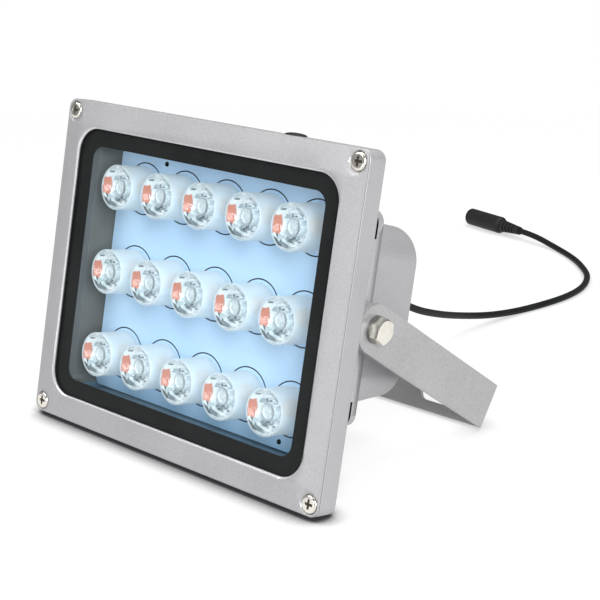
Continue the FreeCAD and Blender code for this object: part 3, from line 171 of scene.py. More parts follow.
class Shader:
    """The nodes of a material, or of the world, in the making."""

    def __init__(self, owner: bpy.types.Material | bpy.types.World) -> None:
        """Start without nodes.

        Args:
            owner: The material or the world.
        """
        owner.use_nodes = True
        self.owner = owner
        self.nodes = owner.node_tree.nodes
        self.links = owner.node_tree.links
        self.nodes.clear()

    @classmethod
    def named(cls, name: str) -> "Shader":
        """Start a new material.

        Args:
            name: The material's name.

        Returns:
            Its empty shader.
        """
        return cls(bpy.data.materials.new(name))

    def add(self, kind: str, settings: dict[str, Any] | None = None,
            inputs: dict[Any, Any] | None = None) -> bpy.types.Node:
        """Add a node, set it and feed its sockets.

        Args:
            kind: The node's type.
            settings: Its settings; "stops" holds a ramp's places and colours.
            inputs: A value, a wrapped value or a socket for each input.

        Returns:
            The node.
        """
        node = self.nodes.new(kind)
        for key, value in (settings or {}).items():
            if key == "stops":
                self._set_stops(node.color_ramp, value)
            else:
                setattr(node, key, value)
        for key, value in (inputs or {}).items():
            socket = node.inputs[key]
            if isinstance(value, Value):
                value = value.socket
            if isinstance(value, bpy.types.NodeSocket):
                self.links.new(value, socket)
            elif isinstance(value, tuple) and len(value) == 3 and socket.type == "RGBA":
                socket.default_value = (*value, 1.0)
            else:
                socket.default_value = value
        return node

    @staticmethod
    def _set_stops(ramp: bpy.types.ColorRamp, stops: Sequence[tuple[float, Colour]]) -> None:
        """Give a colour ramp its stops.

        Args:
            ramp: The ramp.
            stops: Places and colours in rising order.
        """
        while len(ramp.elements) < len(stops):
            ramp.elements.new(1.0)
        for element, (place, colour) in zip(ramp.elements, stops):
            element.position = place
            element.color = (*colour, 1.0)

    def read(self, kind: str, output: int | str, settings: dict[str, Any] | None = None,
             inputs: dict[Any, Any] | None = None) -> Value:
        """Add a node and give one of its outputs as a value.

        Args:
            kind: The node's type.
            output: The output's number or name.
            settings: The node's settings.
            inputs: What feeds its inputs.

        Returns:
            The wrapped output.
        """
        return Value(self, self.add(kind, settings, inputs).outputs[output])

    def place(self) -> bpy.types.NodeSocket:
        """Give the object coordinates."""
        return self.add("ShaderNodeTexCoord").outputs["Object"]

    def along(self, axis: int, where: bpy.types.NodeSocket) -> Value:
        """Give one coordinate of a place.

        Args:
            axis: 0, 1 or 2 for X, Y or Z.
            where: The place.

        Returns:
            The coordinate.
        """
        return self.read("ShaderNodeSeparateXYZ", axis, {}, {0: where})

    def noise(self, size: float, detail: float = 2.0, stretch: Place | None = None) -> Value:
        """Give noise on object coordinates.

        Args:
            size: The size of one blotch in metres.
            detail: How many finer layers it has.
            stretch: How much the pattern is squeezed along each axis.

        Returns:
            Noise around 0.5.
        """
        where = self.place()
        if stretch:
            where = self.add("ShaderNodeMapping", {}, {"Vector": where,
                                                       "Scale": stretch}).outputs[0]
        return self.read("ShaderNodeTexNoise", "Fac", {}, {"Vector": where, "Scale": 1.0 / size,
                                                           "Detail": detail})

    def blend(self, factor: Any, first: Any, second: Any) -> bpy.types.NodeSocket:
        """Mix two colours.

        Args:
            factor: How much of the second.
            first: A colour or a colour socket.
            second: A colour or a colour socket.

        Returns:
            The mixed colour.
        """
        node = self.add("ShaderNodeMix", {"data_type": "RGBA"}, {0: factor, 6: first, 7: second})
        return node.outputs[2]

    def bump(self, height: Value, strength: float, distance: float) -> bpy.types.NodeSocket:
        """Turn a height into a normal.

        Args:
            height: The height from 0 to 1.
            strength: The strength of the effect.
            distance: The real height in metres.

        Returns:
            The normal.
        """
        return self.add("ShaderNodeBump", {}, {"Height": height, "Strength": strength,
                                               "Distance": distance}).outputs["Normal"]

    def light(self, kind: str, inputs: dict[str, Any]) -> bpy.types.NodeSocket:
        """Add a surface, an emission or a background.

        Args:
            kind: The node's type after "ShaderNode".
            inputs: Its sockets' values or links.

        Returns:
            Its output.
        """
        return self.add(f"ShaderNode{kind}", {}, inputs).outputs[0]

    def mix(self, factor: Any, first: bpy.types.NodeSocket,
            second: bpy.types.NodeSocket) -> bpy.types.NodeSocket:
        """Mix two surfaces.

        Args:
            factor: How much of the second.
            first: The first surface.
            second: The second surface.

        Returns:
            The mixed surface.
        """
        return self.add("ShaderNodeMixShader", {}, {0: factor, 1: first, 2: second}).outputs[0]

    def surface(self, shader: bpy.types.NodeSocket) -> bpy.types.Material | bpy.types.World:
        """Connect the surface and hand over the owner.

        Args:
            shader: The surface shader's output.

        Returns:
            The finished material or world.
        """
        kind = "World" if isinstance(self.owner, bpy.types.World) else "Material"
        self.add(f"ShaderNodeOutput{kind}", {}, {"Surface": shader})
        return self.owner


# ---- finishes

ACRYLIC_TINT: Colour = (0.93, 0.97, 1.0)


@dataclass(frozen=True)
class CastPaint:
    """Fine-grained silver paint on a casting or a strip."""

    name: str
    colour: Colour
    roughness: float = 0.42
    grain: float = 0.0006
    relief: float = 0.00004
    metal: float = 0.45

    def make(self) -> bpy.types.Material:
        """Build the material."""
        shader = Shader.named(self.name)
        fine = shader.noise(self.grain, 3.0)
        broad = shader.noise(0.035, 2.0)
        speckle = (fine * 0.7 + broad * 0.3).above(0.5, 0.4)
        return shader.surface(shader.light("BsdfPrincipled", {
            "Base Color": shader.blend(speckle, scaled(self.colour, 0.84),
                                       scaled(self.colour, 1.14)),
            "Metallic": self.metal,
            "Roughness": (fine - 0.5) * 0.16 + self.roughness,
            "Normal": shader.bump(fine, 0.35, self.relief)}))


@dataclass(frozen=True)
class BrightMetal:
    """Plated or bare metal with faint brushing and stains."""

    name: str
    colour: Colour
    roughness: float = 0.24
    stain: float = 0.12

    def make(self) -> bpy.types.Material:
        """Build the material."""
        shader = Shader.named(self.name)
        streaks = shader.noise(0.0012, 4.0, (1.0, 1.0, 6.0))
        broad = shader.noise(0.004, 2.0)
        dull = scaled(self.colour, 1.0 - self.stain * 2.2)
        return shader.surface(shader.light("BsdfPrincipled", {
            "Base Color": shader.blend(broad.above(0.52, 0.5), self.colour, dull),
            "Metallic": 1.0,
            "Roughness": (streaks - 0.5) * 0.2 + self.roughness + (broad - 0.5) * 0.1,
            "Normal": shader.bump(streaks, 0.12, 0.00003)}))


@dataclass(frozen=True)
class Moulded:
    """Moulded plastic, rubber or resin with a fine skin."""

    name: str
    colour: Colour
    roughness: float = 0.5
    grain: float = 0.0005
    relief: float = 0.00003
    shift: float = 0.25
    sheen: float = 0.5

    def make(self) -> bpy.types.Material:
        """Build the material."""
        shader = Shader.named(self.name)
        fine = shader.noise(self.grain, 3.0)
        broad = shader.noise(0.012, 2.0)
        light = tuple(min(1.0, c * (1.0 + self.shift) + 0.003) for c in self.colour)
        return shader.surface(shader.light("BsdfPrincipled", {
            "Base Color": shader.blend(broad.above(0.5, 0.6), self.colour, light),
            "Roughness": (fine - 0.5) * 0.18 + self.roughness + (broad - 0.5) * 0.12,
            "Specular IOR Level": self.sheen,
            "Normal": shader.bump(fine, 0.3, self.relief)}))


@dataclass(frozen=True)
class ClearSheet:
    """Clear glass or acrylic that shows what is behind it and mirrors the room faintly."""

    name: str
    tint: Colour = (0.97, 0.985, 0.99)
    gloss: float = 0.3

    def make(self) -> bpy.types.Material:
        """Build the material."""
        shader = Shader.named(self.name)
        smear = shader.noise(0.02, 3.0)
        see = shader.light("BsdfTransparent", {"Color": self.tint})
        mirror = shader.light("BsdfGlossy", {"Color": (1.0, 1.0, 1.0),
                                             "Roughness": smear * 0.05 + 0.03})
        slant = shader.read("ShaderNodeLayerWeight", "Facing", {}, {"Blend": 0.5})
        rim = slant.power(5.0) * 0.96 + 0.04
        return shader.surface(shader.mix(rim * self.gloss, see, mirror))


@dataclass(frozen=True)
class FrostedAcrylic:
    """Milky side of a moulded lens, with a faint painted glow."""

    name: str
    colour: Colour
    clear: float = 0.22

    def make(self) -> bpy.types.Material:
        """Build the material."""
        shader = Shader.named(self.name)
        cloud = shader.noise(0.004, 2.0)
        light = scaled(self.colour, 1.12)
        # painted glow: the side glows faintly in its own colour
        skin = shader.light("BsdfPrincipled", {
            "Base Color": shader.blend(cloud.above(0.5, 0.6), self.colour, light),
            "Emission Color": self.colour,
            "Emission Strength": 0.14,
            "Roughness": cloud * 0.2 + 0.28,
            "Normal": shader.bump(shader.noise(0.0009, 2.0), 0.15, 0.00003)})
        milky = shader.mix(0.5, skin, shader.light("BsdfTranslucent", {"Color": light}))
        see = shader.light("BsdfTransparent", {"Color": ACRYLIC_TINT})
        return shader.surface(shader.mix(self.clear, milky, see))


@dataclass(frozen=True)
class LensMosaic:
    """Facets inside a lens painted with glints and a faint glow, and with the warm image of the LED
    painted on one side as a reflection.

    The patch's place and half width are shares of the lens's radius.
    """

    name: str
    patch: Colour = (0.55, 0.21, 0.15)
    patch_place: float = -0.81
    patch_half: float = 0.125

    def make(self) -> bpy.types.Material:
        """Build the material."""
        shader = Shader.named(self.name)
        spot = shader.add("ShaderNodeUVMap", {"uv_map": "face_place"}).outputs[0]
        across, upward = shader.along(0, spot), shader.along(1, spot)
        tone = shader.along(0, shader.add("ShaderNodeUVMap", {"uv_map": "facet_tone"}).outputs[0])
        # painted glints and reflections: each facet's tone picks a colour from dark to white
        painted_glint = shader.add("ShaderNodeValToRGB", {"stops": [
            (0.0, (0.04, 0.05, 0.05)), (0.12, (0.14, 0.18, 0.19)), (0.24, (0.42, 0.49, 0.51)),
            (0.50, (0.68, 0.75, 0.77)), (0.78, (0.97, 1.0, 1.0))]}, {0: tone}).outputs[0]
        # painted reflection of the LED: a warm patch on one side of the bowl
        middle = (across - self.patch_place).size()
        tall = middle * 0.5 + 0.35
        patch = ((tall - upward.size()).above(0.0, 0.05)
                 * (self.patch_half - middle).above(0.0, 0.03))
        colour = shader.blend(patch, painted_glint, self.patch)
        # painted glow: the facets glow faintly in their own colours
        skin = shader.light("BsdfPrincipled", {
            "Base Color": colour,
            "Emission Color": colour,
            "Emission Strength": 0.25,
            "Roughness": tone * 0.1 + 0.16,
            "Coat Weight": 0.5 - patch * 0.4})
        see = shader.light("BsdfTransparent", {"Color": ACRYLIC_TINT})
        return shader.surface(shader.mix(0.2 - patch * 0.18, skin, see))


@dataclass(frozen=True)
class BoardMask:
    """Pale blue coating of the LED board, with painted reflections in broad bands, a faint painted
    glow and painted shade along its lower edge.
    """

    name: str
    colour: Colour
    glow: Colour = (0.56, 0.77, 0.99)
    shade: Colour = (0.10, 0.22, 0.33)
    shade_height: float = 0.0195
    shade_soft: float = 0.011

    def make(self) -> bpy.types.Material:
        """Build the material."""
        shader = Shader.named(self.name)
        # painted reflection: broad upright bands of lighter and darker blue, as the lenses mirrored
        # in the coat
        painted_reflection_bands = shader.noise(0.022, 1.0, (1.0, 0.12, 0.12))
        fine = shader.noise(0.001, 2.0)
        reflection_band_dark = tuple(c * (0.72 + 0.24 * c) for c in self.colour)
        # painted shade: darker towards the board's lower edge
        low = 1.0 - shader.along(2, shader.place()).above(self.shade_height, self.shade_soft)
        coat = shader.blend(painted_reflection_bands.above(0.48, 0.5), reflection_band_dark, self.colour)
        # painted glow: the coat glows faintly, less so at its lower edge
        return shader.surface(shader.light("BsdfPrincipled", {
            "Base Color": shader.blend(low * 0.5, coat, self.shade),
            "Emission Color": shader.blend(low * 0.9, self.glow, self.shade),
            "Emission Strength": 0.23,
            "Roughness": (fine - 0.5) * 0.12 + 0.36,
            "Normal": shader.bump(fine, 0.15, 0.00002)}))


FINISHES: dict[str, Any] = {
    "casting": CastPaint("silver casting paint", (0.465, 0.460, 0.474)),
    "strip": CastPaint("silver strip paint", (0.450, 0.447, 0.456), 0.36, 0.0008, 0.00002),
    # painted highlight: the window's bevel is painted lighter than the casting
    "bevel": CastPaint("window bevel painted highlight", (0.66, 0.66, 0.68), 0.3, 0.0006, 0.00001),
    # painted shade: the frame's outer rounded edge is painted darker and not metallic, so it shows
    # no highlight
    "edge": CastPaint("outer edge painted shade", (0.36, 0.355, 0.365), 0.7, metal=0.0),
    # painted shade: the groove between the frame and the housing is painted dark grey
    "seam": Moulded("seam groove painted shade", (0.10, 0.10, 0.105), 0.7, 0.0006, 0.00001, 0.2, 0.2),
    "glass": ClearSheet("clear tempered glass", gloss=0.08),
    "border": Moulded("glossy black border print", (0.016, 0.016, 0.016), 0.5, 0.008, 0.0000002,
                      0.2, 0.04),
    # painted shade: the slot faces at the cover's corner ears are painted near black
    "recess": Moulded("slot recess painted shade", (0.006, 0.006, 0.006), 0.8, 0.0006, 0.00001,
                      0.2, 0.05),
    # painted shade: the silver-painted cavity wall is coloured dark grey for the shade in the
    # cavity
    "inner": Moulded("cavity wall painted shade", (0.095, 0.103, 0.103), 0.6, 0.001, 0.00003, 0.3, 0.3),
    # painted reflection and shade: the lower cavity wall is painted dark blue-grey for the board it
    # mirrors and the shade on it
    "lower_wall_painted_reflection": Moulded("lower wall painted board reflection", (0.085, 0.15, 0.205), 0.5, 0.001,
                          0.00003, 0.3, 0.3),
    # painted shade: dark crosses set in the screws' cross recesses
    "socket": Moulded("screw recess painted shade", (0.030, 0.022, 0.020), 0.6, 0.0006, 0.00001, 0.4, 0.2),
    "lens_front": ClearSheet("clear lens front", (0.97, 0.99, 1.0), 1.2),
    # painted glow in the frosted lens sides
    "lens_side": FrostedAcrylic("frosted lens side with painted glow", (0.87, 0.925, 0.93), 0.44),
    # painted glints and painted LED reflection in the lens mosaics
    "lens_core": LensMosaic("lens mosaic of painted glints"),
    # painted reflections, glow and shade on the board
    "board": BoardMask("pale blue board with painted light", (0.43, 0.60, 0.78)),
    "ink": Moulded("black board print", (0.004, 0.005, 0.006), 0.6, 0.0005, 0.000005, 0.3, 0.15),
    "rubber": Moulded("black gasket rubber", (0.02, 0.02, 0.02), 0.72, 0.0009, 0.00005),
    "cord": Moulded("black cord jacket", (0.007, 0.008, 0.008), 0.5, 0.0008, 0.00003, 0.3, 0.15),
    "plastic": Moulded("black moulded plastic", (0.008, 0.008, 0.008), 0.55, 0.0005, 0.00004,
                       0.3, 0.3),
    "pad": Moulded("grey thermal pad", (0.35, 0.35, 0.37), 0.8),
    "green": Moulded("green driver board", (0.02, 0.12, 0.05), 0.35),
    "component": Moulded("black component case", (0.02, 0.02, 0.022), 0.35),
    "lead": Moulded("red lead cover", (0.42, 0.03, 0.03), 0.4),
    "emitter": Moulded("warm LED body", (0.85, 0.40, 0.20), 0.25),
    "nickel": BrightMetal("warm nickel plate", (0.97, 0.94, 0.86), 0.18, 0.06),
    "zinc": BrightMetal("dark spring steel", (0.30, 0.30, 0.29), 0.35),
    "brass": BrightMetal("brass standoff", (0.80, 0.60, 0.28), 0.3),
    "contact": BrightMetal("bright contact metal", (0.82, 0.82, 0.80), 0.18),
}

NODES_IN_FINISH: dict[str, tuple[str, ...]] = {
    "casting": ("front_frame", "main_housing", "rear_cover"),
    "strip": ("bracket",),
    "rubber": ("glass_gasket", "cover_gasket", "gland_seal"),
    "pad": ("thermal_pad",),
    "board": ("led_board",),
    "ink": ("board_pins",),
    "green": ("driver_board",),
    "component": ("driver_capacitors", "driver_inductor", "driver_chips", "light_sensor_cell"),
    "lead": ("led_leads", "supply_leads", "sensor_lead"),
    "emitter": ("led_emitters",),
    "nickel": ("driver_screws", "pivot_bolts"),
    "zinc": ("spring_washers",),
    "brass": ("driver_standoffs",),
    "contact": ("connector_sleeve", "connector_pin"),
    "plastic": ("light_sensor_cap", "gland_body", "gland_nut", "gland_locknut",
                "connector_relief", "connector_body"),
}


class Workshop:
    """Holds the finished materials and hands pieces to their bodies."""

    def __init__(self) -> None:
        """Build every finish once."""
        self.materials = {key: finish.make() for key, finish in FINISHES.items()}

    def piece(self, name: str, mesh: bpy.types.Mesh, finish: str) -> bpy.types.Object:
        """Make an object of a mesh.

        Args:
            name: The piece's name.
            mesh: Its mesh, in the frame of the whole lamp.
            finish: The name of its finish.

        Returns:
            The new object.
        """
        mesh.name = name
        mesh.materials.clear()
        mesh.materials.append(self.materials[finish])
        return put(name, mesh)

    def deliver(self, thing: bpy.types.Object, slot: str, replaced: Sequence[str] = (),
                part: Part = Part.HEAD) -> None:
        """Let a piece ride on its body and stand for CAD nodes.

        Args:
            thing: The piece.
            slot: The name of a material slot; not used.
            replaced: The CAD nodes that it stands for.
            part: The body that it moves with.
        """
        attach(thing, part.value)
        if replaced:
            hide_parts(*replaced)
        LOG.info("%s rides on %s", thing.name, part.value)

    def paint_nodes(self) -> None:
        """Give each CAD node its finish."""
        for finish, nodes in NODES_IN_FINISH.items():
            for node in nodes:
                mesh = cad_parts[node].data
                mesh.materials.clear()
                mesh.materials.append(self.materials[finish])


# ---- mesh making


@dataclass(frozen=True)
class HeadFrame:
    """The frame in which the head is drawn: X across, Y up the face, Z out of the glass."""

    lean: float = 11.6
    base: Place = (0.0, -0.05457601, 0.07397815)

    def matrix(self) -> Matrix:
        """Give the turn and shift from the head's frame to the whole lamp's."""
        return Matrix.Translation(self.base) @ Matrix.Rotation(math.radians(90 - self.lean), 4, "X")


HEAD = HeadFrame()


class Mesher:
    """Makes meshes from profiles, outlines and repeats. Sizes are in millimetres."""

    @staticmethod
    def polar(radius: float, angle: float, height: float = 0.0) -> Vector:
        """Give a point in metres from its radius, its angle in radians and its height."""
        return Vector((radius * math.cos(angle), radius * math.sin(angle), height)) * MM

    @staticmethod
    def circle(radius: float, count: int, height: float = 0.0) -> list[Vector]:
        """Give points round a circle, or one point for no radius.

        Args:
            radius: Its radius.
            count: How many points it has.
            height: Its height.

        Returns:
            The points in metres.
        """
        return [Mesher.polar(radius, 2 * math.pi * k / count, height)
                for k in range(count if radius > 1e-6 else 1)]

    @staticmethod
    def rounded(width: float, height: float, corner: float, steps: int = 10) -> list[Vector]:
        """Give the outline of a rounded rectangle.

        Args:
            width: Its width.
            height: Its height.
            corner: Its corner radius.
            steps: Steps in each corner.

        Returns:
            The points, counter-clockwise, in metres.
        """
        points = []
        for k, (sx, sy) in enumerate(((1, 1), (-1, 1), (-1, -1), (1, -1))):
            middle = Vector((sx * (width / 2 - corner), sy * (height / 2 - corner), 0)) * MM
            points += [middle + Mesher.polar(corner, math.pi / 2 * (k + step / steps))
                       for step in range(steps + 1)]
        return points

    @staticmethod
    def join(outlines: Sequence[Outline], hoop: bool = False, caps: bool = False,
             smooth: bool = False) -> bpy.types.Mesh:
        """Join outlines one after the other. An outline of one point makes a tip.

        Args:
            outlines: The outlines in metres.
            hoop: Whether the last one joins the first.
            caps: Whether the first and the last are closed by a face.
            smooth: Whether the faces are shaded smooth.

        Returns:
            The mesh, with its faces outwards.
        """
        bm = bmesh.new()
        rings = [[bm.verts.new(point) for point in outline] for outline in outlines]
        for low, high in zip(rings, rings[1:] + (rings[:1] if hoop else [])):
            count = max(len(low), len(high))
            for k in range(count):
                corners = dict.fromkeys(ring[i % len(ring)] for ring, i in (
                    (low, k), (low, (k + 1) % count), (high, (k + 1) % count), (high, k)))
                if len(corners) > 2:
                    bm.faces.new(corners).smooth = smooth
        for ring in (rings[0], rings[-1]) if caps else ():
            bm.faces.new(ring)
        bmesh.ops.remove_doubles(bm, verts=bm.verts[:], dist=1e-7)
        bmesh.ops.recalc_face_normals(bm, faces=bm.faces[:])
        return Mesher.plain(bm)

    @staticmethod
    def plain(bm: bmesh.types.BMesh) -> bpy.types.Mesh:
        """Give the mesh of a bmesh, which is freed."""
        mesh = bpy.data.meshes.new("part")
        bm.to_mesh(mesh)
        bm.free()
        return mesh

    @staticmethod
    def lathe(profile: Profile, count: int, hoop: bool = False) -> bpy.types.Mesh:
        """Turn a profile about Z.

        Args:
            profile: Radius and height of each point.
            count: How many steps round.
            hoop: Whether the last point joins the first.

        Returns:
            The mesh in metres.
        """
        return Mesher.join([Mesher.circle(radius, count, height) for radius, height in profile],
                           hoop, smooth=True)

    @staticmethod
    def raised(outline: Outline, height: float) -> list[Vector]:
        """Give a flat outline at a height in millimetres."""
        return [Vector((p.x, p.y, height * MM)) for p in outline]

    @staticmethod
    def plate(outline: Outline, low: float, high: float) -> bpy.types.Mesh:
        """Make a flat plate of an outline.

        Args:
            outline: The outline in metres.
            low: The lower height.
            high: The upper height.

        Returns:
            The mesh.
        """
        return Mesher.join([Mesher.raised(outline, z) for z in (low, high)], caps=True)

    @staticmethod
    def band(outer: Outline, inner: Outline, low: float, high: float) -> bpy.types.Mesh:
        """Make a flat band between two outlines of equal count.

        Args:
            outer: The outer outline in metres.
            inner: The inner outline in metres.
            low: The lower height.
            high: The upper height.

        Returns:
            The mesh.
        """
        return Mesher.join([Mesher.raised(line, z) for line, z in (
            (outer, low), (outer, high), (inner, high), (inner, low))], hoop=True)

    @staticmethod
    def evaluated(thing: bpy.types.Object) -> bpy.types.Mesh:
        """Give an object's mesh with its modifiers done, and remove the object.

        Args:
            thing: The object.

        Returns:
            The plain mesh.
        """
        graph = bpy.context.evaluated_depsgraph_get()
        mesh = bpy.data.meshes.new_from_object(thing.evaluated_get(graph))
        bpy.data.objects.remove(thing)
        return mesh

    @staticmethod
    def sharpen(mesh: bpy.types.Mesh, angle: float = 32.0) -> bpy.types.Mesh:
        """Shade a mesh smooth with crisp edges and area-weighted normals.

        Args:
            mesh: The mesh.
            angle: The angle over which an edge is crisp, in degrees.

        Returns:
            The shaded mesh.
        """
        mesh.shade_smooth()
        mesh.set_sharp_from_angle(angle=math.radians(angle))
        thing = put("shading", mesh)
        weigh = thing.modifiers.new("weigh", "WEIGHTED_NORMAL")
        weigh.keep_sharp = True
        weigh.weight = 80
        return Mesher.evaluated(thing)

    @staticmethod
    def smooth_copy(node: str, refit: Callable[[bmesh.types.BMesh], None] | None = None
                    ) -> bpy.types.Mesh:
        """Copy a CAD node's mesh, merged and smoothly shaded.

        Args:
            node: The CAD node.
            refit: What changes the merged copy, if it has another shape.

        Returns:
            The copy.
        """
        bm = bmesh.new()
        bm.from_mesh(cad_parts[node].data)
        bmesh.ops.remove_doubles(bm, verts=bm.verts[:], dist=1e-6)
        if refit:
            refit(bm)
        return Mesher.sharpen(Mesher.plain(bm))


class GridRepeat:
    """A Geometry Nodes tree that repeats a small mesh on a grid."""

    SOCKETS = (("Geometry", "OUTPUT", "Geometry"), ("Geometry", "INPUT", "Geometry"),
               ("Columns", "INPUT", "Int"), ("Rows", "INPUT", "Int"),
               ("Width", "INPUT", "Float"), ("Height", "INPUT", "Float"),
               ("Material", "INPUT", "Material"))

    def __init__(self) -> None:
        """Build the tree once."""
        self.tree = bpy.data.node_groups.new("repeat on a grid", "GeometryNodeTree")
        for name, way, kind in self.SOCKETS:
            self.tree.interface.new_socket(name, in_out=way, socket_type=f"NodeSocket{kind}")
        given = self._node("NodeGroupInput").outputs
        grid = self._node("GeometryNodeMeshGrid", {
            "Size X": given["Width"], "Size Y": given["Height"],
            "Vertices X": given["Columns"], "Vertices Y": given["Rows"]})
        spread = self._node("GeometryNodeInstanceOnPoints", {
            "Points": grid.outputs["Mesh"], "Instance": given["Geometry"]})
        real = self._node("GeometryNodeRealizeInstances", {"Geometry": spread.outputs[0]})
        dress = self._node("GeometryNodeSetMaterial", {
            "Geometry": real.outputs[0], "Material": given["Material"]})
        self._node("NodeGroupOutput", {"Geometry": dress.outputs[0]})

    def _node(self, kind: str, inputs: dict[str, bpy.types.NodeSocket] | None = None
              ) -> bpy.types.Node:
        """Add a node and link its inputs.

        Args:
            kind: The node's type.
            inputs: The socket that feeds each input.

        Returns:
            The node.
        """
        node = self.tree.nodes.new(kind)
        for name, socket in (inputs or {}).items():
            self.tree.links.new(socket, node.inputs[name])
        return node

    def make(self, mesh: bpy.types.Mesh, counts: tuple[int, int], span: tuple[float, float],
             material: bpy.types.Material, shift: Place) -> bpy.types.Mesh:
        """Repeat a mesh in the head's frame.

        Args:
            mesh: The small mesh, about its own axis.
            counts: Columns and rows.
            span: Distance between the outer columns and rows in millimetres.
            material: The material of all copies.
            shift: Where the middle of the grid is, in millimetres.

        Returns:
            One mesh of all copies, in the frame of the whole lamp.
        """
        thing = put("repeat", mesh)
        modifier = thing.modifiers.new("grid", "NODES")
        modifier.node_group = self.tree
        values = {"Columns": counts[0], "Rows": counts[1], "Width": span[0] * MM,
                  "Height": span[1] * MM, "Material": material}
        for item in self.tree.interface.items_tree:
            if item.in_out == "INPUT" and item.name in values:
                modifier[item.identifier] = values[item.name]
        thing.update_tag()
        bpy.context.view_layer.update()
        made = Mesher.evaluated(thing)
        made.transform(HEAD.matrix() @ Matrix.Translation(Vector(shift) * MM))
        return made


# ---- sub-assemblies


@dataclass(frozen=True)
class Region:
    """A box on both sides of the head's middle, in which faces get another finish.

    low and high are distances across, up the face and in depth, in millimetres. steep is how
    far a face may look out of the glass, from -1 to 1. With inward, faces that look away from
    the middle keep their paint.
    """

    finish: str
    low: Place
    high: Place
    steep: float = 2.0
    inward: bool = False


REGIONS: dict[str, tuple[Region, ...]] = {
    "front_frame": (
        # the window's bevel takes the painted highlight
        Region("bevel", (0.0, 0.0, 0.55), (81.0, 64.0, 1.19), 0.9),
        # the frame's outer rounded edge takes the painted shade
        Region("edge", (88.3, 0.0, 0.0), (91.0, 75.0, 0.69), 0.97),
        Region("edge", (0.0, 71.8, 0.0), (91.0, 75.0, 0.69), 0.97),
        # the seam groove takes the painted shade
        Region("seam", (87.5, 0.0, 0.69), (89.98, 75.0, 2.3)),
        Region("seam", (0.0, 71.0, 0.69), (91.0, 73.48, 2.3))),
    "main_housing": (
        # the cavity walls take the painted shade
        Region("inner", (0.0, 0.0, 6.0), (71.7, 59.3, 20.7), inward=True),
        # the lower cavity wall takes the painted board reflection and shade
        Region("lower_wall_painted_reflection", (0.0, 57.0, 6.0), (71.7, 59.3, 20.7), inward=True)),
    # the slots at the cover's ears take the painted shade
    "rear_cover": (Region("recess", (54.4, 34.9, 41.5), (63.8, 44.6, 44.4)),),
}


@dataclass
class Castings:
    """The painted frame, housing, cover and bracket, as smoothly shaded copies.

    The frame's window is given as half sizes, and outer is where its face starts to rise. What
    lies above face_depth, or between the depths in ledge, rises with it. In the CAD model the
    points of the window's corners lie between the radii in arc.
    """

    shop: Workshop
    cad_window: tuple[float, float] = (80.0, 63.0)
    cad_corner: float = 9.5
    arc: tuple[float, float] = (9.4, 10.3)
    window: tuple[float, float] = (78.8, 61.7)
    corner: float = 11.5
    outer: tuple[float, float] = (89.3, 72.8)
    rise: float = 1.2
    face_depth: float = -0.75
    ledge: tuple[float, float] = (-1.65, -1.4)
    longest: float = 3.0
    halvings: int = 6

    def build(self) -> None:
        """Replace each painted node by its smooth copy."""
        for node in NODES_IN_FINISH["casting"]:
            refit = self._crown if node == "front_frame" else None
            thing = self.shop.piece(f"{node}_painted", Mesher.smooth_copy(node, refit), "casting")
            for region in REGIONS[node]:
                self._refinish(thing.data, region)
            self.shop.deliver(thing, "silver_casting", (node,))
        strip = self.shop.piece("bracket_painted", Mesher.smooth_copy("bracket"), "strip")
        self.shop.deliver(strip, "silver_strip", ("bracket",), Part.BRACKET)

    def _crown(self, bm: bmesh.types.BMesh) -> None:
        """Give the frame's window its size and corners, and raise the face towards it.

        Args:
            bm: The merged copy of the frame.
        """
        back = HEAD.matrix().inverted()
        for vert in bm.verts:
            vert.co = back @ vert.co / MM
            self._move_corner(vert)
        for _ in range(self.halvings):
            bmesh.ops.subdivide_edges(bm, cuts=1, edges=[
                edge for edge in bm.edges if edge.calc_length() > self.longest
                and all(abs(vert.co.z) < 0.01 for vert in edge.verts)])
        bmesh.ops.triangulate(bm, faces=bm.faces[:])
        for vert in bm.verts:
            if vert.co.z > self.face_depth or self.ledge[0] <= vert.co.z < self.ledge[1]:
                vert.co.z += self.rise * math.prod(
                    min(1.0, max(0.0, (outer - abs(place)) / (outer - inner)))
                    for place, outer, inner in zip(vert.co, self.outer, self.window))
            vert.co = HEAD.matrix() @ (vert.co * MM)

    def _move_corner(self, vert: bmesh.types.BMVert) -> None:
        """Move a point of the window's corner arcs to the new arcs.

        Args:
            vert: A point of the frame, in millimetres in the head's frame.
        """
        across, upward = (abs(place) - (half - self.cad_corner)
                          for place, half in zip(vert.co, self.cad_window))
        reach = math.hypot(across, upward)
        on_arc = min(across, upward) > -0.01 and self.arc[0] < reach < self.arc[1]
        if vert.co.z < self.ledge[0] or not on_arc:
            return
        scale = (self.corner + reach - self.cad_corner) / reach
        for axis, offset in enumerate((across, upward)):
            place = self.window[axis] - self.corner + offset * scale
            vert.co[axis] = math.copysign(place, vert.co[axis])

    def _refinish(self, mesh: bpy.types.Mesh, region: Region) -> None:
        """Give the faces in a region its finish.

        Args:
            mesh: The mesh.
            region: The region.
        """
        mesh.materials.append(self.shop.materials[region.finish])
        back = HEAD.matrix().inverted()
        for face in mesh.polygons:
            centre, normal = back @ face.center, back.to_3x3() @ face.normal
            outward = centre.xy.normalized().dot(normal.xy) > 0.3
            if (all(a <= abs(v) / MM < b for a, v, b in zip(region.low, centre, region.high))
                    and normal.z < region.steep and not (region.inward and outward)):
                face.material_index = len(mesh.materials) - 1


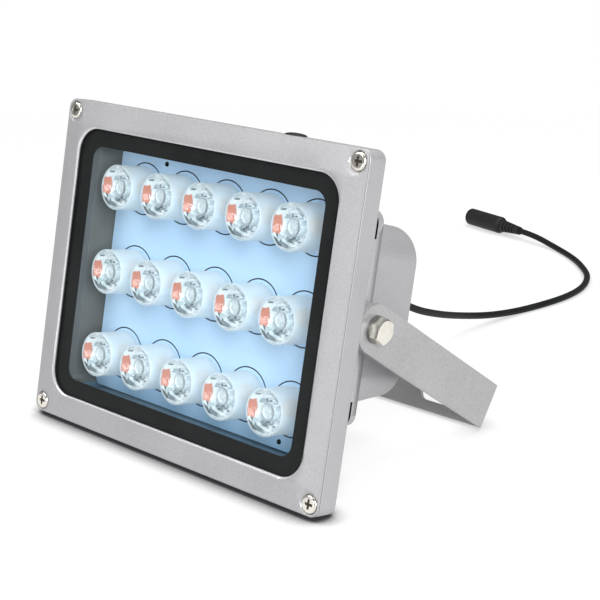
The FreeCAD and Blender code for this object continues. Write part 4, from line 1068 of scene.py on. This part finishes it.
@dataclass
class Glazing:
    """The glass, its printed border and its gasket, with heights in the head's frame."""

    shop: Workshop
    glass: Place = (167.0, 133.0, 10.0)
    clear: Place = (141.2, 108.2, 6.0)
    opening: Place = (143.0, 118.0, 6.0)
    front: float = -0.42
    rear: float = -1.3
    seat: float = -5.58
    print_thick: float = 0.06

    def build(self) -> None:
        """Make the sheet of glass, the border behind it and the gasket."""
        glass, clear, opening = (Mesher.rounded(*size)
                                 for size in (self.glass, self.clear, self.opening))
        printed = self.rear + self.print_thick
        for name, mesh, finish, slot, replaced in (
                ("glass_sheet", Mesher.plate(glass, printed + self.print_thick, self.front),
                 "glass", "clear_glass", ("front_glass",)),
                ("glass_border", Mesher.band(glass, clear, self.rear, printed),
                 "border", "clear_glass", ()),
                # the gasket ring takes the cavity wall's painted shade
                ("glass_gasket_ring", Mesher.band(glass, opening, self.seat, self.rear - 0.02),
                 "inner", "black_rubber", ("glass_gasket",))):
            mesh.transform(HEAD.matrix())
            self.shop.deliver(self.shop.piece(name, mesh, finish), slot, replaced)


@dataclass
class LensArray:
    """Fifteen lenses on the board, with the printed rings round their bases.

    ring_print holds the outer and inner radius and the thickness of a printed ring, bowl the
    radius and depth of each ring of facets, and reflection_tones the turns in degrees between
    which the facets have another middle tone of painted glint. The points of the cut rings stray
    by as much as stray says, in millimetres and in radians.
    """

    shop: Workshop
    grid: GridRepeat
    columns: int = 5
    rows: int = 3
    pitch: tuple[float, float] = (26.5, 38.3)
    drop: float = 0.85
    board_front: float = -18.5
    base_radius: float = 10.2
    top_radius: float = 10.1
    height: float = 17.0
    facets: int = 24
    steps: int = 56
    ring_print: Place = (12.05, 11.5, 0.04)
    bowl: Profile = ((9.55, 0.45), (8.9, 1.3), (8.0, 2.5), (7.0, 3.6), (5.9, 4.7), (4.9, 5.6),
                     (4.1, 6.0), (3.95, 3.4), (3.6, 2.8), (3.0, 2.55), (2.6, 3.1), (1.7, 3.1),
                     (1.1, 2.6), (0.0, 2.4))
    cut_rings: int = 6
    stray: tuple[float, float] = (0.3, 0.08)
    # middle tones of painted glints: darker patches of the bowl at given turns
    reflection_tones: tuple[Place, ...] = ((205, 262, 0.2), (262, 290, 0.45), (60, 85, 0.5), (108, 150, 0.38))
    seed: int = 15

    def build(self) -> None:
        """Make the sides, the mosaics, the clear fronts and the printed rings."""
        self._spread("lens_sides", self._side(), "lens_side", "clear_acrylic", ("lenses",))
        self._spread("lens_mosaics", self._mosaic(), "lens_core", "clear_acrylic")
        self._spread("lens_fronts", self._front(), "lens_front", "clear_acrylic")
        outer, inner, thick = self.ring_print
        ring = Mesher.band(Mesher.circle(outer, self.steps), Mesher.circle(inner, self.steps),
                           0.0, thick)
        self._spread("board_rings", ring, "ink", "board_mask")

    def _spread(self, name: str, mesh: bpy.types.Mesh, finish: str, slot: str,
                replaced: Sequence[str] = ()) -> None:
        """Repeat one lens part over the board.

        Args:
            name: The piece's name.
            mesh: The part of one lens.
            finish: Its finish.
            slot: The name of a material slot.
            replaced: The CAD nodes that it stands for.
        """
        span = ((self.columns - 1) * self.pitch[0], (self.rows - 1) * self.pitch[1])
        made = self.grid.make(mesh, (self.columns, self.rows), span,
                              self.shop.materials[finish], (0, -self.drop, self.board_front))
        self.shop.deliver(self.shop.piece(name, made, finish), slot, replaced)

    def _side(self) -> bpy.types.Mesh:
        """Make the frosted side with its clear rim."""
        top, base, tall = self.top_radius, self.base_radius, self.height
        return Mesher.lathe([
            (base, 0.02), (base + 0.05, 3.0), (top - 0.18, tall - 1.3), (top - 0.05, tall - 1.0),
            (top, tall - 0.7), (top, tall - 0.3), (top - 0.06, tall - 0.06),
            (top - 0.16, tall), (top - 0.24, tall), (top - 0.32, tall - 0.1),
            (top - 0.38, tall - 0.4), (base - 0.6, 0.02)], self.steps, hoop=True)

    def _front(self) -> bpy.types.Mesh:
        """Make the clear front with its well."""
        return Mesher.sharpen(Mesher.lathe([(radius, self.height - depth) for radius, depth in (
            (9.7, 0.35), (9.7, 0.1), (5.0, 0.1), (4.75, 0.2), (4.6, 0.5), (4.2, 1.6), (2.6, 1.9),
            (0.0, 1.5), (0.0, 1.75), (2.6, 2.15), (4.4, 1.85), (4.8, 0.7), (5.1, 0.35))], 48), 20.0)

    def _mosaic(self) -> bpy.types.Mesh:
        """Make the faceted bowl and the stepped boss in a lens."""
        rng = random.Random(self.seed)
        bm = bmesh.new()
        place = bm.loops.layers.uv.new("face_place")
        tone = bm.loops.layers.uv.new("facet_tone")
        rings = [self._facet_ring(bm, rng, step) for step in range(len(self.bowl))]
        for step, (low, high) in enumerate(zip(rings, rings[1:])):
            for k in range(self.facets):
                j = (k + 1) % self.facets
                faces = [bm.faces.new((low[k], low[j], high[j % len(high)]))]
                if len(high) > 1:
                    faces.append(bm.faces.new((low[k], high[j], high[k])))
                shade = self._facet_reflection_tone(rng, step, 360.0 * (k + 0.5) / self.facets)
                for loop in (loop for face in faces for loop in face.loops):
                    loop[place].uv = loop.vert.co.xy / (self.top_radius * MM)
                    loop[tone].uv = (shade, 0.5)
        bmesh.ops.recalc_face_normals(bm, faces=bm.faces[:])
        if any(face.normal.z < -0.2 for face in bm.faces):
            bmesh.ops.reverse_faces(bm, faces=bm.faces[:])
        return Mesher.plain(bm)

    def _facet_ring(self, bm: bmesh.types.BMesh, rng: random.Random,
                    step: int) -> list[bmesh.types.BMVert]:
        """Make one ring of the bowl's points. Those of the cut facets are uneven.

        Args:
            bm: The mesh in the making.
            rng: The source of the random shifts.
            step: The ring's number from the rim.

        Returns:
            The points, or a single one in the middle.
        """
        radius, depth = self.bowl[step]
        cut = 0 < step < self.cut_rings
        far, wide = self.stray
        ring = []
        for k in range(self.facets if radius > 0 else 1):
            turn = 2 * math.pi * (k + (0.5 if step % 2 and cut else 0.0)) / self.facets
            wobble = rng.uniform(-far, far) if cut else 0.0
            turn += rng.uniform(-wide, wide) if cut else 0.0
            ring.append(bm.verts.new(Mesher.polar(radius + wobble * 0.5, turn,
                                                  self.height - depth + wobble)))
        return ring

    def _facet_reflection_tone(self, rng: random.Random, step: int, turn: float) -> float:
        """Give the painted glint tone of one facet.

        Args:
            rng: The source of the random tones.
            step: The number of the ring of facets from the rim.
            turn: Where the facet is, in degrees.

        Returns:
            A tone from 0, dark, to 1, bright.
        """
        if step > 8:
            return rng.uniform(0.55, 0.9)
        if step > 5:
            return rng.uniform(0.3, 0.6)
        middle = next((tone for start, end, tone in self.reflection_tones if start < turn < end), 0.72)
        shade = min(1.0, max(0.0, middle + rng.uniform(-0.32, 0.32)))
        return rng.uniform(0.0, 0.15) if rng.random() < 0.1 else shade


@dataclass(frozen=True)
class ScrewSet:
    """Four screws at the corners of a rectangle, with sizes in millimetres."""

    node: str
    head: float
    tall: float
    length: float
    span: tuple[float, float]
    seat: float
    turned: bool = False


@dataclass
class Screws:
    """The pan-head screws with cross recesses, at the frame and at the cover."""

    shop: Workshop
    grid: GridRepeat
    shank_radius: float = 2.0
    sets: tuple[ScrewSet, ...] = (
        ScrewSet("frame_screws", 3.85, 1.9, 7.6, (170.0, 136.6), -1.3),
        ScrewSet("cover_screws", 3.5, 2.4, 14.0, (116.0, 82.0), -47.8, turned=True))

    def build(self) -> None:
        """Make both sets of screws, and dark crosses of painted shade in their recesses."""
        for kit in self.sets:
            head, tall = kit.head, kit.tall
            # dark crosses of painted shade, set in the recesses
            dark = self._star(((0.72 * tall, 0.50 * head, 0.132 * head),
                               (0.36 * tall, 0.42 * head, 0.11 * head)))
            for mesh, finish, name, replaced in ((self._screw(kit), "nickel", "cross", (kit.node,)),
                                                 (dark, "socket", "sockets", ())):
                if kit.turned:
                    mesh.transform(Matrix.Rotation(math.pi, 4, "X"))
                made = self.grid.make(mesh, (2, 2), kit.span, self.shop.materials[finish],
                                      (0, 0, kit.seat))
                self.shop.deliver(self.shop.piece(f"{kit.node}_{name}", made, finish),
                                  "nickel_screw", replaced)

    def _screw(self, kit: ScrewSet) -> bpy.types.Mesh:
        """Make one screw that points up.

        Args:
            kit: Its set.

        Returns:
            The mesh, with the seat of the head at height 0.
        """
        head, tall, shank = kit.head, kit.tall, self.shank_radius
        profile = [(0.0, -kit.length), (shank - 0.5, -kit.length), (shank, -kit.length + 0.5),
                   (shank, 0.0), (head - 0.08, 0.0), (head, 0.08)]
        bend = 0.55 * tall
        for angle in (math.pi / 2 * step / 6 for step in range(7)):
            profile.append((head - bend * (1 - math.cos(angle)),
                            tall - bend * (1 - math.sin(angle)) - 0.06 * math.sin(angle)))
        profile += [(head * 0.4, tall - 0.02), (0.0, tall)]
        body = put("screw", Mesher.lathe(profile, 40))
        tool = put("recess", self._star(((tall + 0.4, 0.60 * head, 0.16 * head),
                                         (0.30 * tall, 0.42 * head, 0.115 * head))))
        carve = body.modifiers.new("carve", "BOOLEAN")
        carve.object = tool
        carve.solver = "EXACT"
        bpy.context.view_layer.update()
        mesh = Mesher.evaluated(body)
        bpy.data.objects.remove(tool)
        return Mesher.sharpen(mesh)

    @staticmethod
    def _star(levels: Sequence[Place]) -> bpy.types.Mesh:
        """Make a cross between two heights.

        Args:
            levels: Height, reach and half width of the arms, the upper level first.

        Returns:
            The mesh.
        """
        turns = [Matrix.Rotation(math.pi / 2 * turn, 3, "Z") for turn in range(4)]
        return Mesher.join([[turn @ Vector((x, y, height)) * MM for turn in turns
                             for x, y in ((reach, -half), (reach, half), (half, half))]
                            for height, reach, half in levels], caps=True)


@dataclass
class Lead:
    """The cord from the gland to the socket on the ground.

    The reaches are distances from the pivot, straight behind it, in millimetres.
    """

    shop: Workshop
    radius: float = 1.9
    pivot: Place = (0.0, -21.46636, 67.18171)
    reaches: tuple[float, float] = (71.0, 84.0)
    blend_from: float = 72.5
    blend_to: float = 98.0
    bends: tuple[Place, ...] = (
        (0.0, 75.90, 47.19), (-1.5, 103.0, 30.5), (-6.0, 132.0, 19.7), (-12.9, 164.0, 10.0),
        (-13.2, 188.8, 4.5), (-11.5, 211.0, 1.95), (-7.8, 231.3, 1.95), (-5.9, 255.2, 1.95),
        (-8.9, 277.7, 1.95), (-17.6, 297.5, 1.95), (-27.9, 311.5, 1.95), (-49.1, 331.5, 1.95),
        (-74.2, 347.2, 1.95), (-95.12, 351.92, 5.8), (-107.8, 354.8, 5.8))

    def _behind(self, reach: float) -> Vector:
        """Give a point straight behind the pivot, as the head leans.

        Args:
            reach: Its distance from the pivot in millimetres.

        Returns:
            The point in metres.
        """
        lean = math.radians(HEAD.lean)
        return (Vector(self.pivot) + Vector((0, math.cos(lean), -math.sin(lean))) * reach) * MM

    def _curve(self, bevel: float) -> bpy.types.Mesh:
        """Make the mesh of the cord's own spline.

        Args:
            bevel: The tube's radius in metres, or 0 for the line alone.

        Returns:
            The mesh.
        """
        points = [self._behind(reach) for reach in self.reaches]
        points += [Vector(bend) * MM for bend in self.bends]
        data = bpy.data.curves.new("cord_line", "CURVE")
        data.dimensions = "3D"
        data.resolution_u = 16
        data.bevel_depth = bevel
        data.bevel_resolution = 6
        data.use_fill_caps = bevel > 0
        spline = data.splines.new("NURBS")
        spline.points.add(len(points) - 1)
        for point, place in zip(spline.points, points):
            point.co = (*place, 1.0)
        spline.order_u = 3
        spline.use_endpoint_u = True
        thing = put("cord_line", data)
        bpy.context.view_layer.update()
        return Mesher.evaluated(thing)

    def build(self) -> None:
        path = [tuple(v.co) for v in self._curve(0.0).vertices]
        tube = self._curve(self.radius * MM)
        tube.shade_smooth()
        thing = self.shop.piece("cord_tube", tube, "cord")
        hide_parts("cord_tail", "power_cord")
        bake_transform(thing)


@dataclass
class Studio:
    """Floor, lamps, world and camera. A lamp has a name, a place, a side and a power."""

    camera_place: Place = (0.44569655, -0.46247937, 0.25508423)
    focal_pixels: float = 1475.3085
    image_pixels: float = 600.0
    sensor: float = 36.0
    floor_reach: float = 6.0
    room_light: float = 0.24
    aim: Place = (0.0, 0.0, 0.07)
    lamps: tuple[tuple[str, Place, float, float], ...] = (
        ("key", (1.32, -0.78, 0.62), 1.0, 30.0), ("front", (-0.75, -1.05, 1.1), 1.0, 11.5),
        ("top", (0.1, 0.35, 1.3), 1.0, 12.0), ("glow", (-0.3, -1.1, 0.12), 0.2, 0.7))

    def build(self) -> None:
        """Set up everything round the lamp."""
        self._camera()
        self._floor()
        self._world()
        for lamp in self.lamps:
            self._lamp(*lamp)
        bpy.context.scene.view_settings.view_transform = "Standard"

    def _camera(self) -> None:
        """Place the camera where the photograph was taken from."""
        right = Vector((0.733058642, 0.680165269, 0.000484446))
        up = Vector((-0.199382179, 0.214206161, 0.956223022))
        back = Vector((0.650285918, -0.701064140, 0.292638510))
        data = bpy.data.cameras.new("camera")
        data.sensor_width = self.sensor
        data.lens = self.focal_pixels * self.sensor / self.image_pixels
        data.clip_start = 0.01
        data.clip_end = 20.0
        thing = put("camera", data)
        turn = Matrix((right, up, back)).transposed().to_4x4()
        thing.matrix_world = Matrix.Translation(self.camera_place) @ turn
        bpy.context.scene.camera = thing

    def _floor(self) -> None:
        """Make the pale floor, which keeps a soft shadow, and a painted contact shadow that is
        darkest where things touch it.
        """
        shader = Shader.named("pale floor")
        where = shader.place()
        camera = shader.read("ShaderNodeLightPath", "Is Camera Ray")
        glossy = shader.read("ShaderNodeLightPath", "Is Glossy Ray")
        # painted contact shadow: for camera rays the floor darkens where ambient occlusion finds
        # things close by
        open_sky = shader.read("ShaderNodeAmbientOcclusion", "AO", {"samples": 8},
                               {"Distance": 0.016})
        behind = shader.along(1, where).above(-0.045, 0.02)
        painted_contact_shadow = (0.8 - open_sky).above(0.15, 0.4) * camera * (1.0 - behind * 0.75)
        white = shader.blend(painted_contact_shadow, (1.0, 1.0, 1.0), (0.04, 0.04, 0.045))
        matt = shader.light("BsdfDiffuse", {
            "Color": shader.blend(camera, (0.27, 0.27, 0.27), white)})
        glow = shader.light("Emission", {"Color": white})
        far = shader.read("ShaderNodeVectorMath", "Value", {"operation": "LENGTH"}, {0: where})
        seen = camera * (far.above(0.6, 0.7) * 0.22 + 0.78) + glossy * 0.9
        mesh = bpy.data.meshes.new("floor")
        mesh.from_pydata([(x * self.floor_reach, y * self.floor_reach, 0.0)
                          for x, y in ((-1, -1), (1, -1), (1, 1), (-1, 1))], [], [(0, 1, 2, 3)])
        mesh.materials.append(shader.surface(shader.mix(seen, matt, glow)))
        floor = put("floor", mesh)

    def _world(self) -> None:
        """Light the room from all round, white where it is seen directly or through clear parts."""
        shader = Shader(bpy.data.worlds.new("room"))
        seen = shader.read("ShaderNodeLightPath", "Is Camera Ray").most(
            shader.read("ShaderNodeLightPath", "Is Transmission Ray"))
        soft, white = (shader.light("Background", {"Color": (1.0, 1.0, 1.0), "Strength": strength})
                       for strength in (self.room_light, 1.0))
        bpy.context.scene.world = shader.surface(shader.mix(seen, soft, white))

    def _lamp(self, name: str, place: Place, size: float, power: float) -> None:
        """Add a square soft lamp that points at the middle of the floodlight.

        Args:
            name: The lamp's name.
            place: Where it stands.
            size: Its side.
            power: Its power.
        """
        data = bpy.data.lights.new(name, "AREA")
        data.size = size
        data.energy = power
        thing = put(name, data)
        thing.location = place
        thing.rotation_mode = "QUATERNION"
        thing.rotation_quaternion = (Vector(self.aim) - Vector(place)).to_track_quat("-Z", "Y")


def main() -> None:
    """Build the lamp's looks in order."""
    logging.basicConfig(level=logging.INFO, format="%(name)s: %(message)s")
    Studio().build()
    shop = Workshop()
    grid = GridRepeat()
    Lead(shop).build()
    shop.paint_nodes()
    Castings(shop).build()
    Glazing(shop).build()
    LensArray(shop, grid).build()
    Screws(shop, grid).build()


if __name__ == "__main__":
    main()
